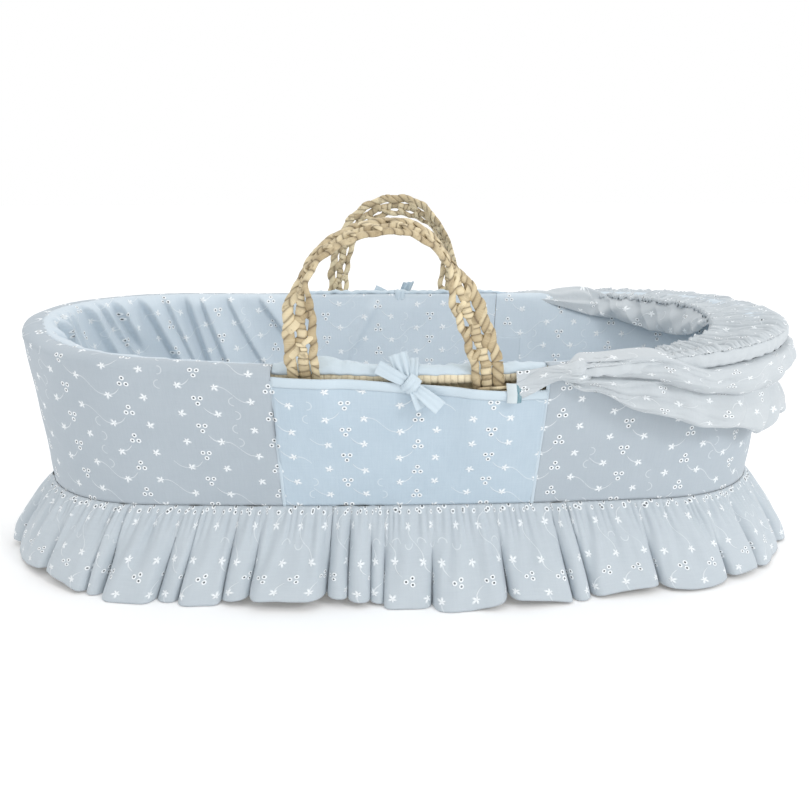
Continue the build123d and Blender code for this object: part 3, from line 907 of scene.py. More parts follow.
def make_frill():
    """The gathered frill: fine pleats under the seam that join into deep uneven folds at the hem."""
    u, v = grid(np.linspace(0, 1, 2000, endpoint=False), np.linspace(0, 1, 44))  # v is 0 at the seam
    top = seam_at(u)
    x, y, nx, ny = hem_oval.at(u)
    s = u * hem_oval.length
    marks, sizes, flats, valleys = frill_folds(hem_oval.length)
    sway = 0.006 * v * ripples(s, v * 0.1, 31, (0.10, 0.40), 0.3)
    at = np.mod(s + sway, hem_oval.length)
    fold = np.clip(np.searchsorted(marks, at, side="right") - 1, 0, len(sizes) - 1)
    q = (at - marks[fold]) / (marks[fold + 1] - marks[fold])
    bulge = 1 - np.abs(2 * q - 1) ** flats[fold]
    out_by = FOLD_OUT * sizes[fold] * bulge - VALLEY_IN * np.interp(at, marks, valleys)
    width = marks[fold + 1] - marks[fold]
    overlap = -0.11 * np.minimum(width, 0.055) * np.sin(2 * math.pi * q) * smooth(0.1, 1, v)
    narrow = flats[fold] < 2.5
    swell = np.where(narrow, smooth(-0.25, 0.8, v), smooth(0.02, 1.0, v) ** 1.1)
    fine_wave = np.sin(s / 0.0014 + 4 * ripples(s, v * 0.02, 33, (0.03, 0.12), 0.3))
    fine = 0.0012 * fine_wave * (1 - smooth(0.08, 0.5, v)) * smooth(0, 0.05, v)
    mid_wave = ripples(s, v * 0.05, 34, (0.014, 0.035), 0.6)
    fine = fine + 0.0030 * mid_wave * smooth(0.02, 0.22, v) * (1 - 0.8 * smooth(0.4, 1.0, v))
    broad = 0.0022 * ripples(s, v * 0.1, 36, (0.03, 0.09), 1.2) * smooth(0.2, 0.9, v)
    bow = 0.006 * np.sin(math.pi * v)
    points = top + (xyz(x, y, HEM_UP) - top) * v[..., None]
    points = points + xyz(nx, ny, 0) * (out_by * swell + fine + broad + bow)[..., None]
    points = points + xyz(-ny, nx, 0) * overlap[..., None]
    lift = 0.010 * smooth(0.5, 1.0, v) * np.clip(0.35 + ripples(s, 0 * v, 35, (0.12, 0.40), 0.1), 0, 1)
    points[..., 2] = np.maximum(points[..., 2] + lift, HEM_UP)
    cloth_s = arc_length(points[:, 30])  # along a row two thirds of the way down
    uvs = xyz(cloth_s[:, None], (1 - v) * FRILL_CUT)
    frill = grid_mesh("frill_cloth", points, uvs, frill_cotton, closed=True)
    place(thicken(frill, CLOTH), "basket", "eyelet_cotton", "frill")


make_frill()


# ------------------------------------------------------------------ lining
lining_low_oval = Oval(*LINING_FLOOR)
LINING_TOP = 0.0128  # how far inside the rim's middle line the lining starts
LINING_BOTTOM = 0.016
LINING_STEP = 0.0017  # between the mesh's points round the lining
SEAM_CALM = 0.022  # the folds fade out this close to a seam
FLOOR_UP = 0.0105
LINING_CUT = 0.27
ROLL_SHARE = 0.07  # share of the end panels' height that lies over the roll


def level_top(x, ny):
    return rim_level(x, ny) - 0.003


def lining_sheet(name, u_range, folds, node, top_height=None):
    """A panel of the lining from the rim down to the floor, inside the wall.

    It starts under the casing at the top height given; without one its edge lies over the roll, on top of
    the skirt's cloth."""
    width = arc_of(u_range)
    u, v = grid(np.linspace(*u_range, int(width / LINING_STEP)), np.linspace(0, 1, 60))  # v is 0 at the top
    x, y, nx, ny = rim_oval.at(u)
    x0, y0, _, _ = lining_low_oval.at(u)
    low = xyz(x0, y0, LINING_BOTTOM)
    s = u * rim_oval.length
    if top_height:
        top = xyz(x - nx * LINING_TOP, y - ny * LINING_TOP, top_height(x, ny))
        points = top + (low - top) * v[..., None]
    else:
        angle = math.radians(105) + math.radians(75) * np.clip(v / ROLL_SHARE, 0, 1)
        rolled = roll_points(u, angle, -0.0010 + 0.0024 * smooth(0, 0.5 * ROLL_SHARE, v))
        top = roll_points(u, 0 * v + math.pi, 0.0014)
        below = np.clip((v - ROLL_SHARE) / (1 - ROLL_SHARE), 0, 1)
        points = np.where((v < ROLL_SHARE)[..., None], rolled, top + (low - top) * below[..., None])
    h = (1 - v) * LINING_CUT
    to_seam = np.minimum(np.abs(u - u_range[0]), np.abs(u - u_range[1])) * rim_oval.length
    loose = folds(s, h) * smooth(0.0, 1.3 * ROLL_SHARE, v) * smooth(0.0, SEAM_CALM, to_seam)
    points = points - xyz(nx, ny, 0) * loose[..., None]
    panel = grid_mesh(name, points, xyz(s, h), painted_light_lining_cloth)
    place(thicken(panel, CLOTH, 1.0), "basket", "lining_cotton", node)
    return panel


def slot_top(x, ny):
    return rim_level(x, ny) + np.where(ny > 0, 0.0095, 0.0050)


def loose_folds(seed, longest=0.14):
    def folds(s, h):
        return 0.0015 * (1 + ripples(s, h, seed, (0.05, longest)))

    return folds


def foot_folds(s, h):
    """Slanting gathers in the lining round the foot end."""
    total = loose_folds(41, 0.12)(s, h)
    middle = 0.5 * rim_oval.length
    draw = np.random.default_rng(42)
    offset = -0.37
    while offset < 0.34:
        away = abs(offset + 0.12)
        lean = draw.uniform(0.030, 0.115) * (-1 if offset < 0.05 else 0.7)
        top = (middle + offset, LINING_CUT + draw.uniform(-0.005, 0.035))
        bottom = (middle + offset + lean, LINING_CUT - draw.uniform(0.08, 0.20))
        width = draw.uniform(0.0038, 0.0088)
        depth = width * draw.uniform(1.4, 1.9) * (1.15 - 1.2 * away)
        bend = draw.uniform(-0.004, 0.011)
        total = total + crease(s, h, top, bottom, width, depth, steep=2.6, bend=bend)
        offset += draw.uniform(0.015, 0.048)
    return total


def back_folds(s, h):
    """The back panel has one long slanting pull beside the handle."""
    start = (rim_oval.u_at(-0.025, front=False) * rim_oval.length, LINING_CUT)
    end = (rim_oval.u_at(-0.085, front=False) * rim_oval.length, LINING_CUT - 0.11)
    return loose_folds(45)(s, h) + crease(s, h, start, end, 0.006, 0.006)


lining_sheet("lining_foot_end_cloth", FOOT_RANGE, foot_folds, "lining_foot_end")
lining_head = lining_sheet("lining_head_end_cloth", HEAD_RANGE, loose_folds(43), "lining_head_end")
lining_sheet("lining_front_cloth", LONG_RANGE["front"], loose_folds(44), "lining_front", slot_top)
lining_sheet("lining_back_cloth", LONG_RANGE["back"], back_folds, "lining_back", slot_top)

floor_oval = Oval(LINING_FLOOR[0] - 0.001, LINING_FLOOR[1] - 0.001)
ring_u, ring_v = grid(np.linspace(0, 1, 160, endpoint=False), np.linspace(0.02, 1, 14))
ring_x, ring_y, _, _ = floor_oval.at(ring_u)
floor_points = xyz(ring_x * ring_v, ring_y * ring_v, FLOOR_UP)
floor_uvs = floor_points[..., :2]
lining_floor = grid_mesh("lining_floor_cloth", floor_points, floor_uvs, painted_light_lining_cloth, closed=True)
place(lining_floor, "basket", "lining_cotton", "lining_floor")


def casing_top(x, side):
    """How far the casing's top stands above the rim's middle line: more beside the foot-end leg."""
    if side == "back":
        return 0.0125 + 0 * x
    return 0.0065 + 0.0095 * smooth(-0.135, -0.095, x) * (1 - smooth(-0.09, -0.03, x))


def puffed_binding(side):
    """The lining's edge in the slot: a gathered, slightly crumpled casing that lies over the rim."""
    start, end = LONG_RANGE[side]
    beyond = 0.013 / rim_oval.length  # it runs on a little under the hood's corner
    u_range = (start, end + beyond) if side == "front" else (start - beyond, end)
    u, v = grid(np.linspace(*u_range, 420), np.linspace(0, 1, 26, endpoint=False))
    x, y, nx, ny = rim_oval.at(u)
    narrow = 1 - 0.65 * smooth(HEAD_SEAM_X - 0.018, HEAD_SEAM_X + 0.012, x)
    s = u * rim_oval.length
    seed = 51 if side == "front" else 52
    level = rim_level(x, ny)
    top = casing_top(x, side) + 0.0012 * ripples(s, 0 * s, seed, (0.015, 0.05), 0.1)
    outer_out, outer_up = 0.0078, 0.0030
    inner_out, inner_up = -0.0125, top
    angle = 2 * math.pi * v
    half_length = 0.5 * np.hypot(outer_out - inner_out, outer_up - inner_up)
    lean = np.arctan2(outer_up - inner_up, outer_out - inner_out)
    crumple = 0.0007 * ripples(s, v * 0.04, seed + 5, (0.008, 0.022))
    pinch = 0.0007 * np.sin(s / 0.0021 + 3 * ripples(s, 0 * s, seed + 7, (0.03, 0.1), 0.1))
    long_way = (half_length + crumple) * np.cos(angle) * narrow
    short_way = (0.0048 + crumple + pinch * smooth(-0.2, 0.9, -np.cos(angle))) * np.sin(angle) * narrow
    out_by = (outer_out + inner_out) / 2 + long_way * np.cos(lean) - short_way * np.sin(lean)
    up_by = (outer_up + inner_up) / 2 + long_way * np.sin(lean) + short_way * np.cos(lean)
    points = xyz(x + nx * out_by, y + ny * out_by, level + up_by)
    binding = tube_mesh(f"lining_binding_{side}_casing", points, xyz(s * 1.3, v * 0.045), tape)
    place(binding, "basket", "plain_cotton", f"lining_binding_{side}")


puffed_binding("front")
puffed_binding("back")


# ------------------------------------------------------------------ rim
def turns_of_leaf(draw, at, turns, wrap, uneven):
    """For places along a strand of leaf: the turn that each is in, and how far across that turn."""
    widths = draw.uniform(1 - uneven, 1 + uneven, turns) * wrap
    marks = np.concatenate([[0], np.cumsum(widths)])
    index = np.clip(np.searchsorted(marks, at, side="right") - 1, 0, turns - 1)
    return index, np.clip((at - marks[index]) / widths[index], 0, 1)


def wrapped_tube(name, centre, out, half_sizes, wrap, seed):
    """A closed ring wrapped in leaf: each turn is a low hump with a tint of its own, and painted shade
    darkens the grooves between turns.
    """
    half_across, half_up = half_sizes
    sides = 20
    s = arc_length(np.concatenate([centre, centre[:1]]))
    angle = np.linspace(0, 2 * math.pi, sides, endpoint=False)
    draw = np.random.default_rng(seed)
    turns = int(s[-1] / wrap) + 2
    s = s[:-1, None]
    index, inside = turns_of_leaf(draw, s + 0.0012 * np.cos(angle), turns, wrap, 0.3)
    hump = np.sqrt(np.clip(1 - (2 * inside - 1) ** 4, 0, 1))
    size = (0.90 + 0.10 * hump) * draw.uniform(0.93, 1.04, turns)[index]
    points = centre[:, None] + out[:, None] * (size * half_across * np.cos(angle))[..., None]
    points[..., 2] += size * half_up * np.sin(angle)
    tint = draw.uniform(0.1, 1.0, turns)[index]
    faces = grid_faces(len(centre), sides, close_rows=True, close_columns=True)
    uvs = xyz(angle * half_up, s)
    # The last value is painted shade, strongest in the groove between one turn and the next.
    return make_mesh(name, points, faces, uvs, painted_light_rim_leaf, tint=tint, groove=(1 - hump) ** 1.5)


rim_u = np.linspace(0, 1, 2600, endpoint=False)
rim_centre, rim_out = frame_at(rim_u)
rim_centre[:, 2] -= 0.001
RIM_HALF = (RIM_THICK / 2, RIM_THICK / 2 + 0.0017)
rim = wrapped_tube("rim_leaf_wrap", rim_centre, rim_out, RIM_HALF, wrap=0.0056, seed=61)
place(rim, "basket", "leaf_wrap", "rim_wrap")
CANE_HALF = (0.0032, 0.0032)
cane = wrapped_tube("rim_cane_core", rim_centre[::4], rim_out[::4], CANE_HALF, wrap=0.05, seed=62)
place(cane, "basket", "cane", "rim_cane")

hidden_leaf = [(f"wall_band_{number}", plaited_leaf) for number in range(1, 9)]
for node_name, material in hidden_leaf + [("base_mat", mat_leaf)]:
    node_materials = frame["nodes"][node_name].data.materials
    node_materials.clear()
    node_materials.append(material)


# ------------------------------------------------------------------ handles
def curve_through(points, count):
    """Points evenly spaced along a smooth curve through those given."""
    points = np.asarray(points, float)
    ends = np.concatenate([[2 * points[0] - points[1]], points, [2 * points[-1] - points[-2]]])
    pieces = []
    t = np.linspace(0, 1, 40, endpoint=False)[:, None]
    for p0, p1, p2, p3 in zip(ends, ends[1:], ends[2:], ends[3:]):
        bow = 2 * p0 - 5 * p1 + 4 * p2 - p3
        swing = 3 * p1 - p0 - 3 * p2 + p3
        pieces.append(0.5 * (2 * p1 + (p2 - p0) * t + bow * t**2 + swing * t**3))
    line = np.concatenate(pieces + [points[-1:]])
    s = arc_length(line)
    return along_line(np.linspace(0, s[-1], count), s, line)


def along_line(places, s, line):
    """The points of a line, or of what is known at each of its points, at distances along it."""
    return xyz(*(np.interp(places, s, column) for column in line.T))


def tangent_of(line):
    return unit(np.gradient(line, axis=0))


def leaf_strand(name, centre, side, face, half_sizes, wrap, lean, seed, material=leaf_strip):
    """A strand of leaf turned round and round: each turn is a slanting bulge with a tint of its own, and
    painted shade darkens the grooves between turns.
    """
    half_side, half_face = half_sizes
    s = arc_length(centre)
    angle = np.linspace(0, 2 * math.pi, 26, endpoint=False)
    draw = np.random.default_rng(seed)
    turns = int(s[-1] / wrap) + 8
    at = s[:, None] + lean * np.cos(angle) + 3 * wrap
    index, inside = turns_of_leaf(draw, at, turns, wrap, 0.4)
    hump = np.clip(1 - np.abs(2 * inside - 1) ** 3.0, 0, 1) ** 0.6
    thick = draw.uniform(0.90, 1.06, turns)[index]
    shift = draw.uniform(-0.08, 0.08, turns)[index]
    grow = (0.84 + 0.16 * hump) * thick
    across = half_side * (np.cos(angle) * grow + shift)
    deep = half_face * np.sin(angle) * grow
    points = centre[:, None] + side[:, None] * across[..., None] + face[:, None] * deep[..., None]
    tint = draw.uniform(0.0, 1.0, turns)[index]
    uvs = xyz(angle * half_side + 0.3 * index, s[:, None])
    # The last value is painted shade, strongest in the groove between one turn and the next.
    return tube_mesh(name, points, uvs, material, tint=tint, groove=1 - hump)


STRAP_CORDS = (  # across the strap: middle, half width, half thickness, length of a turn, slant
    (-0.0104, 0.0062, 0.0036, 0.0105, 0.0050),
    (0.0013, 0.0055, 0.0037, 0.0066, -0.0008),
    (0.0122, 0.0042, 0.0030, 0.0125, 0.0024),
)
CROSSING = 0.0250  # between one crossing strand and the next
CROSSING_SIZES = ((0.016, 0.0038), (0.011, 0.0027))  # between each pair of cords: length, half width
CROSSING_HALF_THICK = 0.0014


def strap_frame(points, y, twist):
    """The strap's middle line with its sideways (outwards from the arch) and its facing direction."""
    line = curve_through(points, 1000)
    centre = xyz(line[:, 0], y, line[:, 1])
    tangent = tangent_of(centre)
    outward = xyz(-tangent[:, 2], 0, tangent[:, 0])
    turn = np.radians(twist(np.linspace(0, 1, len(line))))[:, None]
    depth = np.array([[0.0, 1.0, 0.0]])
    side = np.cos(turn) * outward + np.sin(turn) * depth
    face = -np.cos(turn) * depth + np.sin(turn) * outward
    return centre, side, face


def strap(handle, points, y, twist, broad, seed):
    """A strap of three leaf cords that sway together and apart, with strands crossing between them."""
    centre, side, face = strap_frame(points, y, twist)
    s = arc_length(centre)
    middles = []
    for number, (middle, half_side, half_face, wrap, lean) in enumerate(STRAP_CORDS):
        sway = 0.0009 * np.sin(2 * math.pi * s / CROSSING + number * math.pi + seed)
        lift = 0.0004 * np.cos(2 * math.pi * s / CROSSING + number * 1.7)
        off = -(middle * broad + sway)
        line = centre + side * off[:, None] + face * lift[:, None]
        middles.append(off)
        name = f"{handle}_cord_{number + 1}_leaf"
        half_sizes = (half_side * broad, half_face)
        cord = leaf_strand(name, line, side, face, half_sizes, wrap, lean, seed * 10 + number)
        place(cord, handle, "leaf_wrap", f"{handle}_cord_{3 - number}")

    def crossing(number, pair, front):
        """A strand from one cord over to the next, in front of them or behind."""
        reach, half_wide = CROSSING_SIZES[pair]
        begin = (number + 0.25 + pair / 2) * CROSSING
        along = np.linspace(begin, begin + reach, 22)
        if along.max() > s[-1]:
            return
        if front < 0:
            along = along[::-1]
        t = np.linspace(0, 1, 22)
        face_at = along_line(along, s, face)
        off, next_off = (np.interp(along, s, middles[cord]) for cord in (pair, pair + 1))
        off = off + (next_off - off) * smooth(0, 1, t)
        over = front * (0.0012 + 0.0022 * np.sin(math.pi * t))
        line = along_line(along, s, centre) + along_line(along, s, side) * off[:, None]
        line = line + face_at * over[:, None]
        wide = unit(np.cross(tangent_of(line), face_at))
        name = f"{handle}_crossing_{number + 1}_{pair + 1}_{'front' if front > 0 else 'back'}"
        own_seed = seed * 1000 + number * 4 + pair * 2 + front
        half_sizes = (half_wide, CROSSING_HALF_THICK)
        strand = leaf_strand(name, line, wide, face_at, half_sizes, wrap=0.020, lean=0.003, seed=own_seed)
        place(strand, handle, "leaf_wrap", f"{handle}_weft")

    for number in range(int(s[-1] / CROSSING)):
        for pair in (0, 1):
            crossing(number, pair, 1)
            crossing(number, pair, -1)


# Where the two straps' middle lines pass, along the basket and up.
FRONT_PATH = (
    (-0.1045, 0.2580),
    (-0.1060, 0.2920),
    (-0.1050, 0.3230),
    (-0.0975, 0.3490),
    (-0.0800, 0.3705),
    (-0.0480, 0.3870),
    (-0.0080, 0.3915),
    (0.0175, 0.3805),
    (0.0380, 0.3560),
    (0.0525, 0.3240),
    (0.0665, 0.2880),
    (0.0765, 0.2580),
)
BACK_PATH = (
    (-0.0825, 0.2580),
    (-0.0805, 0.2950),
    (-0.0705, 0.3340),
    (-0.0505, 0.3620),
    (-0.0260, 0.3775),
    (0.0000, 0.3820),
    (0.0300, 0.3745),
    (0.0555, 0.3520),
    (0.0705, 0.3220),
    (0.0735, 0.2900),
    (0.0710, 0.2580),
)
handle_y = abs(joint_place("handle_front_fold")[1])


def front_twist(share):
    """The front handle turns nearly edge on at its left shoulder and across the top."""
    left = 77 * smooth(0.12, 0.24, share) - 6 * smooth(0.28, 0.38, share)
    return left + 12 * smooth(0.58, 0.69, share) - 83 * smooth(0.70, 0.85, share)


def back_twist(share):
    return -66 * smooth(0.52, 0.72, share) + 66 * smooth(0.82, 0.97, share)


strap("handle_front", FRONT_PATH, -handle_y, front_twist, 1.0, 3)
strap("handle_back", BACK_PATH, handle_y, back_twist, 0.87, 4)

# The straps' feet lie down the outside of the wall under the cloth, and are lashed to it.
FEET_X = {"front": (-0.0985, 0.0845), "back": (-0.0845, 0.0705)}
FOOT_HALF_THICK = 0.0032
LASHING_HALF = (0.0019, 0.0010)  # half width and half thickness of the leaf
LASHING_REACH = (0.0172, 0.0052)  # how far a turn goes to each side of a foot, and outwards and inwards


def strap_foot(side, which, foot_x, top_x):
    """The end of a handle's leg, sewn flat down the outside of the wall."""
    node = f"handle_{side}_foot_{which}"
    low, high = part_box(node)
    foot_points = ((foot_x, low[2]), (foot_x, 0.19), (0.4 * foot_x + 0.6 * top_x, 0.23), (top_x, high[2]))
    middle_line = curve_through(foot_points, 200)
    inner, outer = sorted((abs(low[1]), abs(high[1])))
    share = (middle_line[:, 1] - low[2]) / (high[2] - low[2])
    depth = inner + 0.0026 + (outer - inner - 0.0022) * share
    centre = xyz(middle_line[:, 0], OUTWARDS[side] * depth, middle_line[:, 1])
    side_way = everywhere((1, 0, 0), centre)
    face_way = everywhere((0, OUTWARDS[side], 0), centre)
    mirror = -1 if which == "left" else 1
    for number, (middle, half_side, _, wrap, lean) in enumerate(STRAP_CORDS):
        name = f"{node}_strand_{number + 1}"
        line = centre - side_way * mirror * middle
        seed = 900 + number + 10 * (side == "back") + 20 * (which == "right")
        half_sizes = (half_side, FOOT_HALF_THICK)
        strand = leaf_strand(name, line, side_way, face_way, half_sizes, wrap, lean, seed)
        place(strand, "basket", "leaf_wrap", node)


def lashing(side, foot, foot_x, turn):
    """A thin turn of leaf that binds a foot of a handle to the wall, just behind the slot's edge."""
    node = f"foot_lashings_{side}"
    low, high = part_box(node)
    outer = max(abs(low[1]), abs(high[1]))
    angle = np.linspace(0, 2 * math.pi, 120)
    across = LASHING_REACH[0] * squarer(np.cos(angle), 0.5)
    deep = LASHING_REACH[1] * squarer(np.sin(angle), 0.5)
    z = low[2] - 0.014 + 0.0045 * turn + 0.0015 * np.cos(angle)
    centre = xyz(foot_x + across, OUTWARDS[side] * (outer - 0.0072 - deep), z)
    up = everywhere((0, 0, 1), centre)
    face = np.cross(tangent_of(centre), up)
    seed = 700 + 10 * foot + turn + 40 * (side == "back")
    name = f"foot_lashing_{side}_{foot + 1}_{turn + 1}"
    piece = leaf_strand(name, centre, up, face, LASHING_HALF, wrap=0.02, lean=0, seed=seed)
    place(piece, "basket", "leaf_wrap", node)


for side, path in (("front", FRONT_PATH), ("back", BACK_PATH)):
    strap_foot(side, "left", FEET_X[side][0], path[0][0])
    strap_foot(side, "right", FEET_X[side][1], path[-1][0])
for side, feet_x in FEET_X.items():
    for foot, foot_x in enumerate(feet_x):
        lashing(side, foot, foot_x, 0)
        lashing(side, foot, foot_x, 1)


# ------------------------------------------------------------------ ribbons
def ribbon(name, points, width, across, fold, taper=0.0, thickness=0.0007):
    """A flat strip of tape along a curve; across is the direction of its width at each end."""
    line = curve_through(points, 60)
    t = np.linspace(0, 1, len(line))[:, None]
    first, last = (unit(np.array(direction, float)) for direction in across)
    tangent = tangent_of(line)
    way = first + (last - first) * t
    way = unit(way - tangent * np.sum(way * tangent, axis=1)[:, None])
    normal = np.cross(tangent, way)
    v = np.linspace(-1, 1, 13)
    half = width / 2 * (1 - taper * (1 - t) ** 2)
    wave = fold * np.cos(math.pi * v * 2.5) * (1 - 0.6 * t)
    points = line[:, None] + way[:, None] * (half * v)[..., None] + normal[:, None] * wave[..., None]
    length = arc_length(line)[-1]
    strip = grid_mesh(name, points, xyz(v * width / 2, t * length), tape)
    return thicken(strip, thickness, 0.0), length


TIE_WIDE = 0.0135
KNOT_ASIDE = 0.008  # towards the foot end from the middle of the CAD's knot
KNOT_DOWN = 0.0055  # under the rim's middle line


def tie(side):
    """A tape tie round the rim at the middle of a long side, tied outside in a knot with its tails."""
    out = OUTWARDS[side]
    sag = FRONT_SAG if side == "front" else 0.0
    knot_node = f"tie_{side}_knot"
    knot_low, knot_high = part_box(knot_node)
    x = (knot_low[0] + knot_high[0]) / 2 - KNOT_ASIDE
    outer = max(abs(knot_low[1]), abs(knot_high[1]))
    y = outer - 0.001
    z = RIM_LEVEL - KNOT_DOWN - sag

    def by_knot(*offsets):
        """Points by how far they are from the knot: along the side, outwards and up."""
        return [(x + right, out * (y + outwards), z + up) for right, outwards, up in offsets]

    rim_in = RIM_CENTRE[1] - y
    rim_up = RIM_LEVEL - sag - z
    over = by_knot(
        (0.002, rim_in - 0.016, rim_up + 0.002),
        (0.002, rim_in - 0.012, rim_up + 0.0145),
        (0.001, rim_in + 0.001, rim_up + 0.0120),
        (0.0, rim_in + 0.010, rim_up + 0.004),
        (0.0, -0.005, 0.0),
    )
    fan = by_knot((-0.002, 0.0, 0.002), (-0.008, -0.003, 0.015), (-0.013, -0.010, 0.029))
    if side == "back":
        fan = [(2 * x - fan_x + 0.002, fan_y, fan_z) for fan_x, fan_y, fan_z in fan]
    up_tail = by_knot((-0.001, 0.0, 0.001), (-0.016, 0.001, 0.009), (-0.033, -0.003, 0.0175))
    small_tail = by_knot((0.001, 0.0, -0.003), (0.005, 0.002, -0.012), (0.010, -0.001, -0.025))
    down_tail = by_knot((0.001, 0.0, -0.001), (0.013, 0.0035, -0.010), (0.029, 0.001, -0.024))
    for part, points, width, across, fold, taper in (
        ("over", over, TIE_WIDE, ((1, 0, 0), (1, 0, 0)), 0.0008, 0.0),
        ("fan", fan, 0.0190, ((1, 0, 0.4), (1, 0.3, 0.5)), 0.0022, 0.75),
        ("up_tail", up_tail, 0.0140, ((0.4, 0, 1), (0.3, 0.1, 1)), 0.0006, 0.35),
        ("small_tail", small_tail, 0.0110, ((1, 0, 0.2), (1, 0.3, 0.2)), 0.0007, 0.3),
        ("down_tail", down_tail, 0.0155, ((0.5, 0, 0.9), (0.7, 0.1, 0.8)), 0.0006, 0.4),
    ):
        strip, length = ribbon(f"tie_{side}_{part}", points, width, across, fold, taper)
        node = f"tie_{side}_ribbon" if part == "over" else knot_node
        place(strip, "basket", "plain_cotton", node)
    round_knot = by_knot(
        *(
            (0.011 * (a - 0.5), 0.0062 * math.sin(math.pi * a) - 0.002, 0.014 * (a - 0.5))
            for a in (0, 0.25, 0.5, 0.75, 1)
        )
    )
    across = ((1, 0, -0.8), (1, 0, -0.8))
    knot, length = ribbon(f"tie_{side}_knot_wrap", round_knot, TIE_WIDE, across, 0.0009, thickness=0.0016)
    place(knot, "basket", "plain_cotton", knot_node)


tie("front")
tie("back")


# ------------------------------------------------------------------ hood
HOOP = Oval(0.443, 0.2375)
HOOP_PAST_HINGE = 0.004  # where the hoop's ends are, ahead of the hinge
HOOP_HALF = 0.0024
EYE_RADIUS = 0.0032
EYE_HALF = (0.0012, 0.0020)  # half thickness and half width of its ring
ELASTIC_HALF = (0.0011, 0.0007)
CHANNEL_HALF = 0.005  # half width and half height of the casing round the hoop
CHANNEL_TALL = 0.0080
HOOD_TILT = math.radians(2.4)
HOOD_CLOTH = 0.0008  # thickness
PLEATS = 126
EDGE_CENTRE = 0.155  # the elastic edge is nearly a circle round this place on the middle line
EDGE_RADIUS = 0.205
EDGE_SPAN = math.radians(84)  # half the bearing that it goes round


def hood_height(x, above):
    """Height of a point at x, a distance above the hoop's own plane."""
    return HOOD_Z + (x - HOOD_X) * math.tan(HOOD_TILT) + above / math.cos(HOOD_TILT)


HOOP_START = HOOP.u_at(HOOD_X + HOOP_PAST_HINGE, front=True) - 1
HOOP_END = HOOP.u_at(HOOD_X + HOOP_PAST_HINGE, front=False)
HOOP_ARC = (HOOP_END - HOOP_START) * HOOP.length


def hoop_point(share):
    """A point on the hoop's middle line and its outward direction, from the front corner to the back."""
    return HOOP.at(HOOP_START + (HOOP_END - HOOP_START) * share)


def from_corner(share, length):
    """Distance to the nearer end of something that runs round the head end."""
    return np.minimum(share, 1 - share) * length


def hoop():
    """The cane hoop inside the casing, with a small eye at each end for its hinge pin."""
    x, y, nx, ny = hoop_point(np.linspace(0, 1, 400))
    centre = xyz(x, y, hood_height(x, 0.0))
    up = everywhere((0, 0, 1), centre)
    half_sizes = (HOOP_HALF, HOOP_HALF)
    rod = leaf_strand("hood_hoop_cane", centre, xyz(nx, ny, 0), up, half_sizes, wrap=0.05, lean=0, seed=88)
    place(rod, "hood", "cane", "hood_hoop")
    angle = np.linspace(0, 2 * math.pi, 60)
    for name, y_end in (("front", y[0]), ("back", y[-1])):
        out = xyz(np.cos(angle), 0, np.sin(angle))
        ring = np.array([HOOD_X, y_end, HOOD_Z]) + out * EYE_RADIUS
        pin_way = everywhere((0, 1, 0), ring)
        eye_name = f"hood_hoop_eye_{name}"
        eye = leaf_strand(eye_name, ring, out, pin_way, EYE_HALF, wrap=0.05, lean=0, seed=89)
        place(eye, "hood", "cane", "hood_hoop")


hoop()


def pleats(share, t, seed):
    """Uneven radial pleats, 1 on a ridge and 0 in a valley."""
    draw = np.random.default_rng(seed)
    widths = draw.uniform(0.55, 1.6, PLEATS)
    marks = np.concatenate([[0], np.cumsum(widths)]) / widths.sum()
    shift = 0.004 * ripples(share * 3, t, seed + 1, (0.2, 0.6))
    phase = np.interp(share + shift * (1 - 0.5 * t), marks, np.arange(PLEATS + 1))
    size = draw.uniform(0.45, 1.0, PLEATS)
    return humps(phase, 0.55) * size[np.clip(phase.astype(int), 0, PLEATS - 1)]


def edge_dip(angle):
    """Where the elastic edge lies nearest the head end, a little towards the back."""
    return 0.012 * bell(angle, 0.26, 0.22)


def edge_radius(angle):
    """Distance of the band's elastic edge from its centre, by the bearing from the head end."""
    wider = 0.014 * smooth(math.radians(55), EDGE_SPAN, np.abs(angle))
    return EDGE_RADIUS + wider + edge_dip(angle)


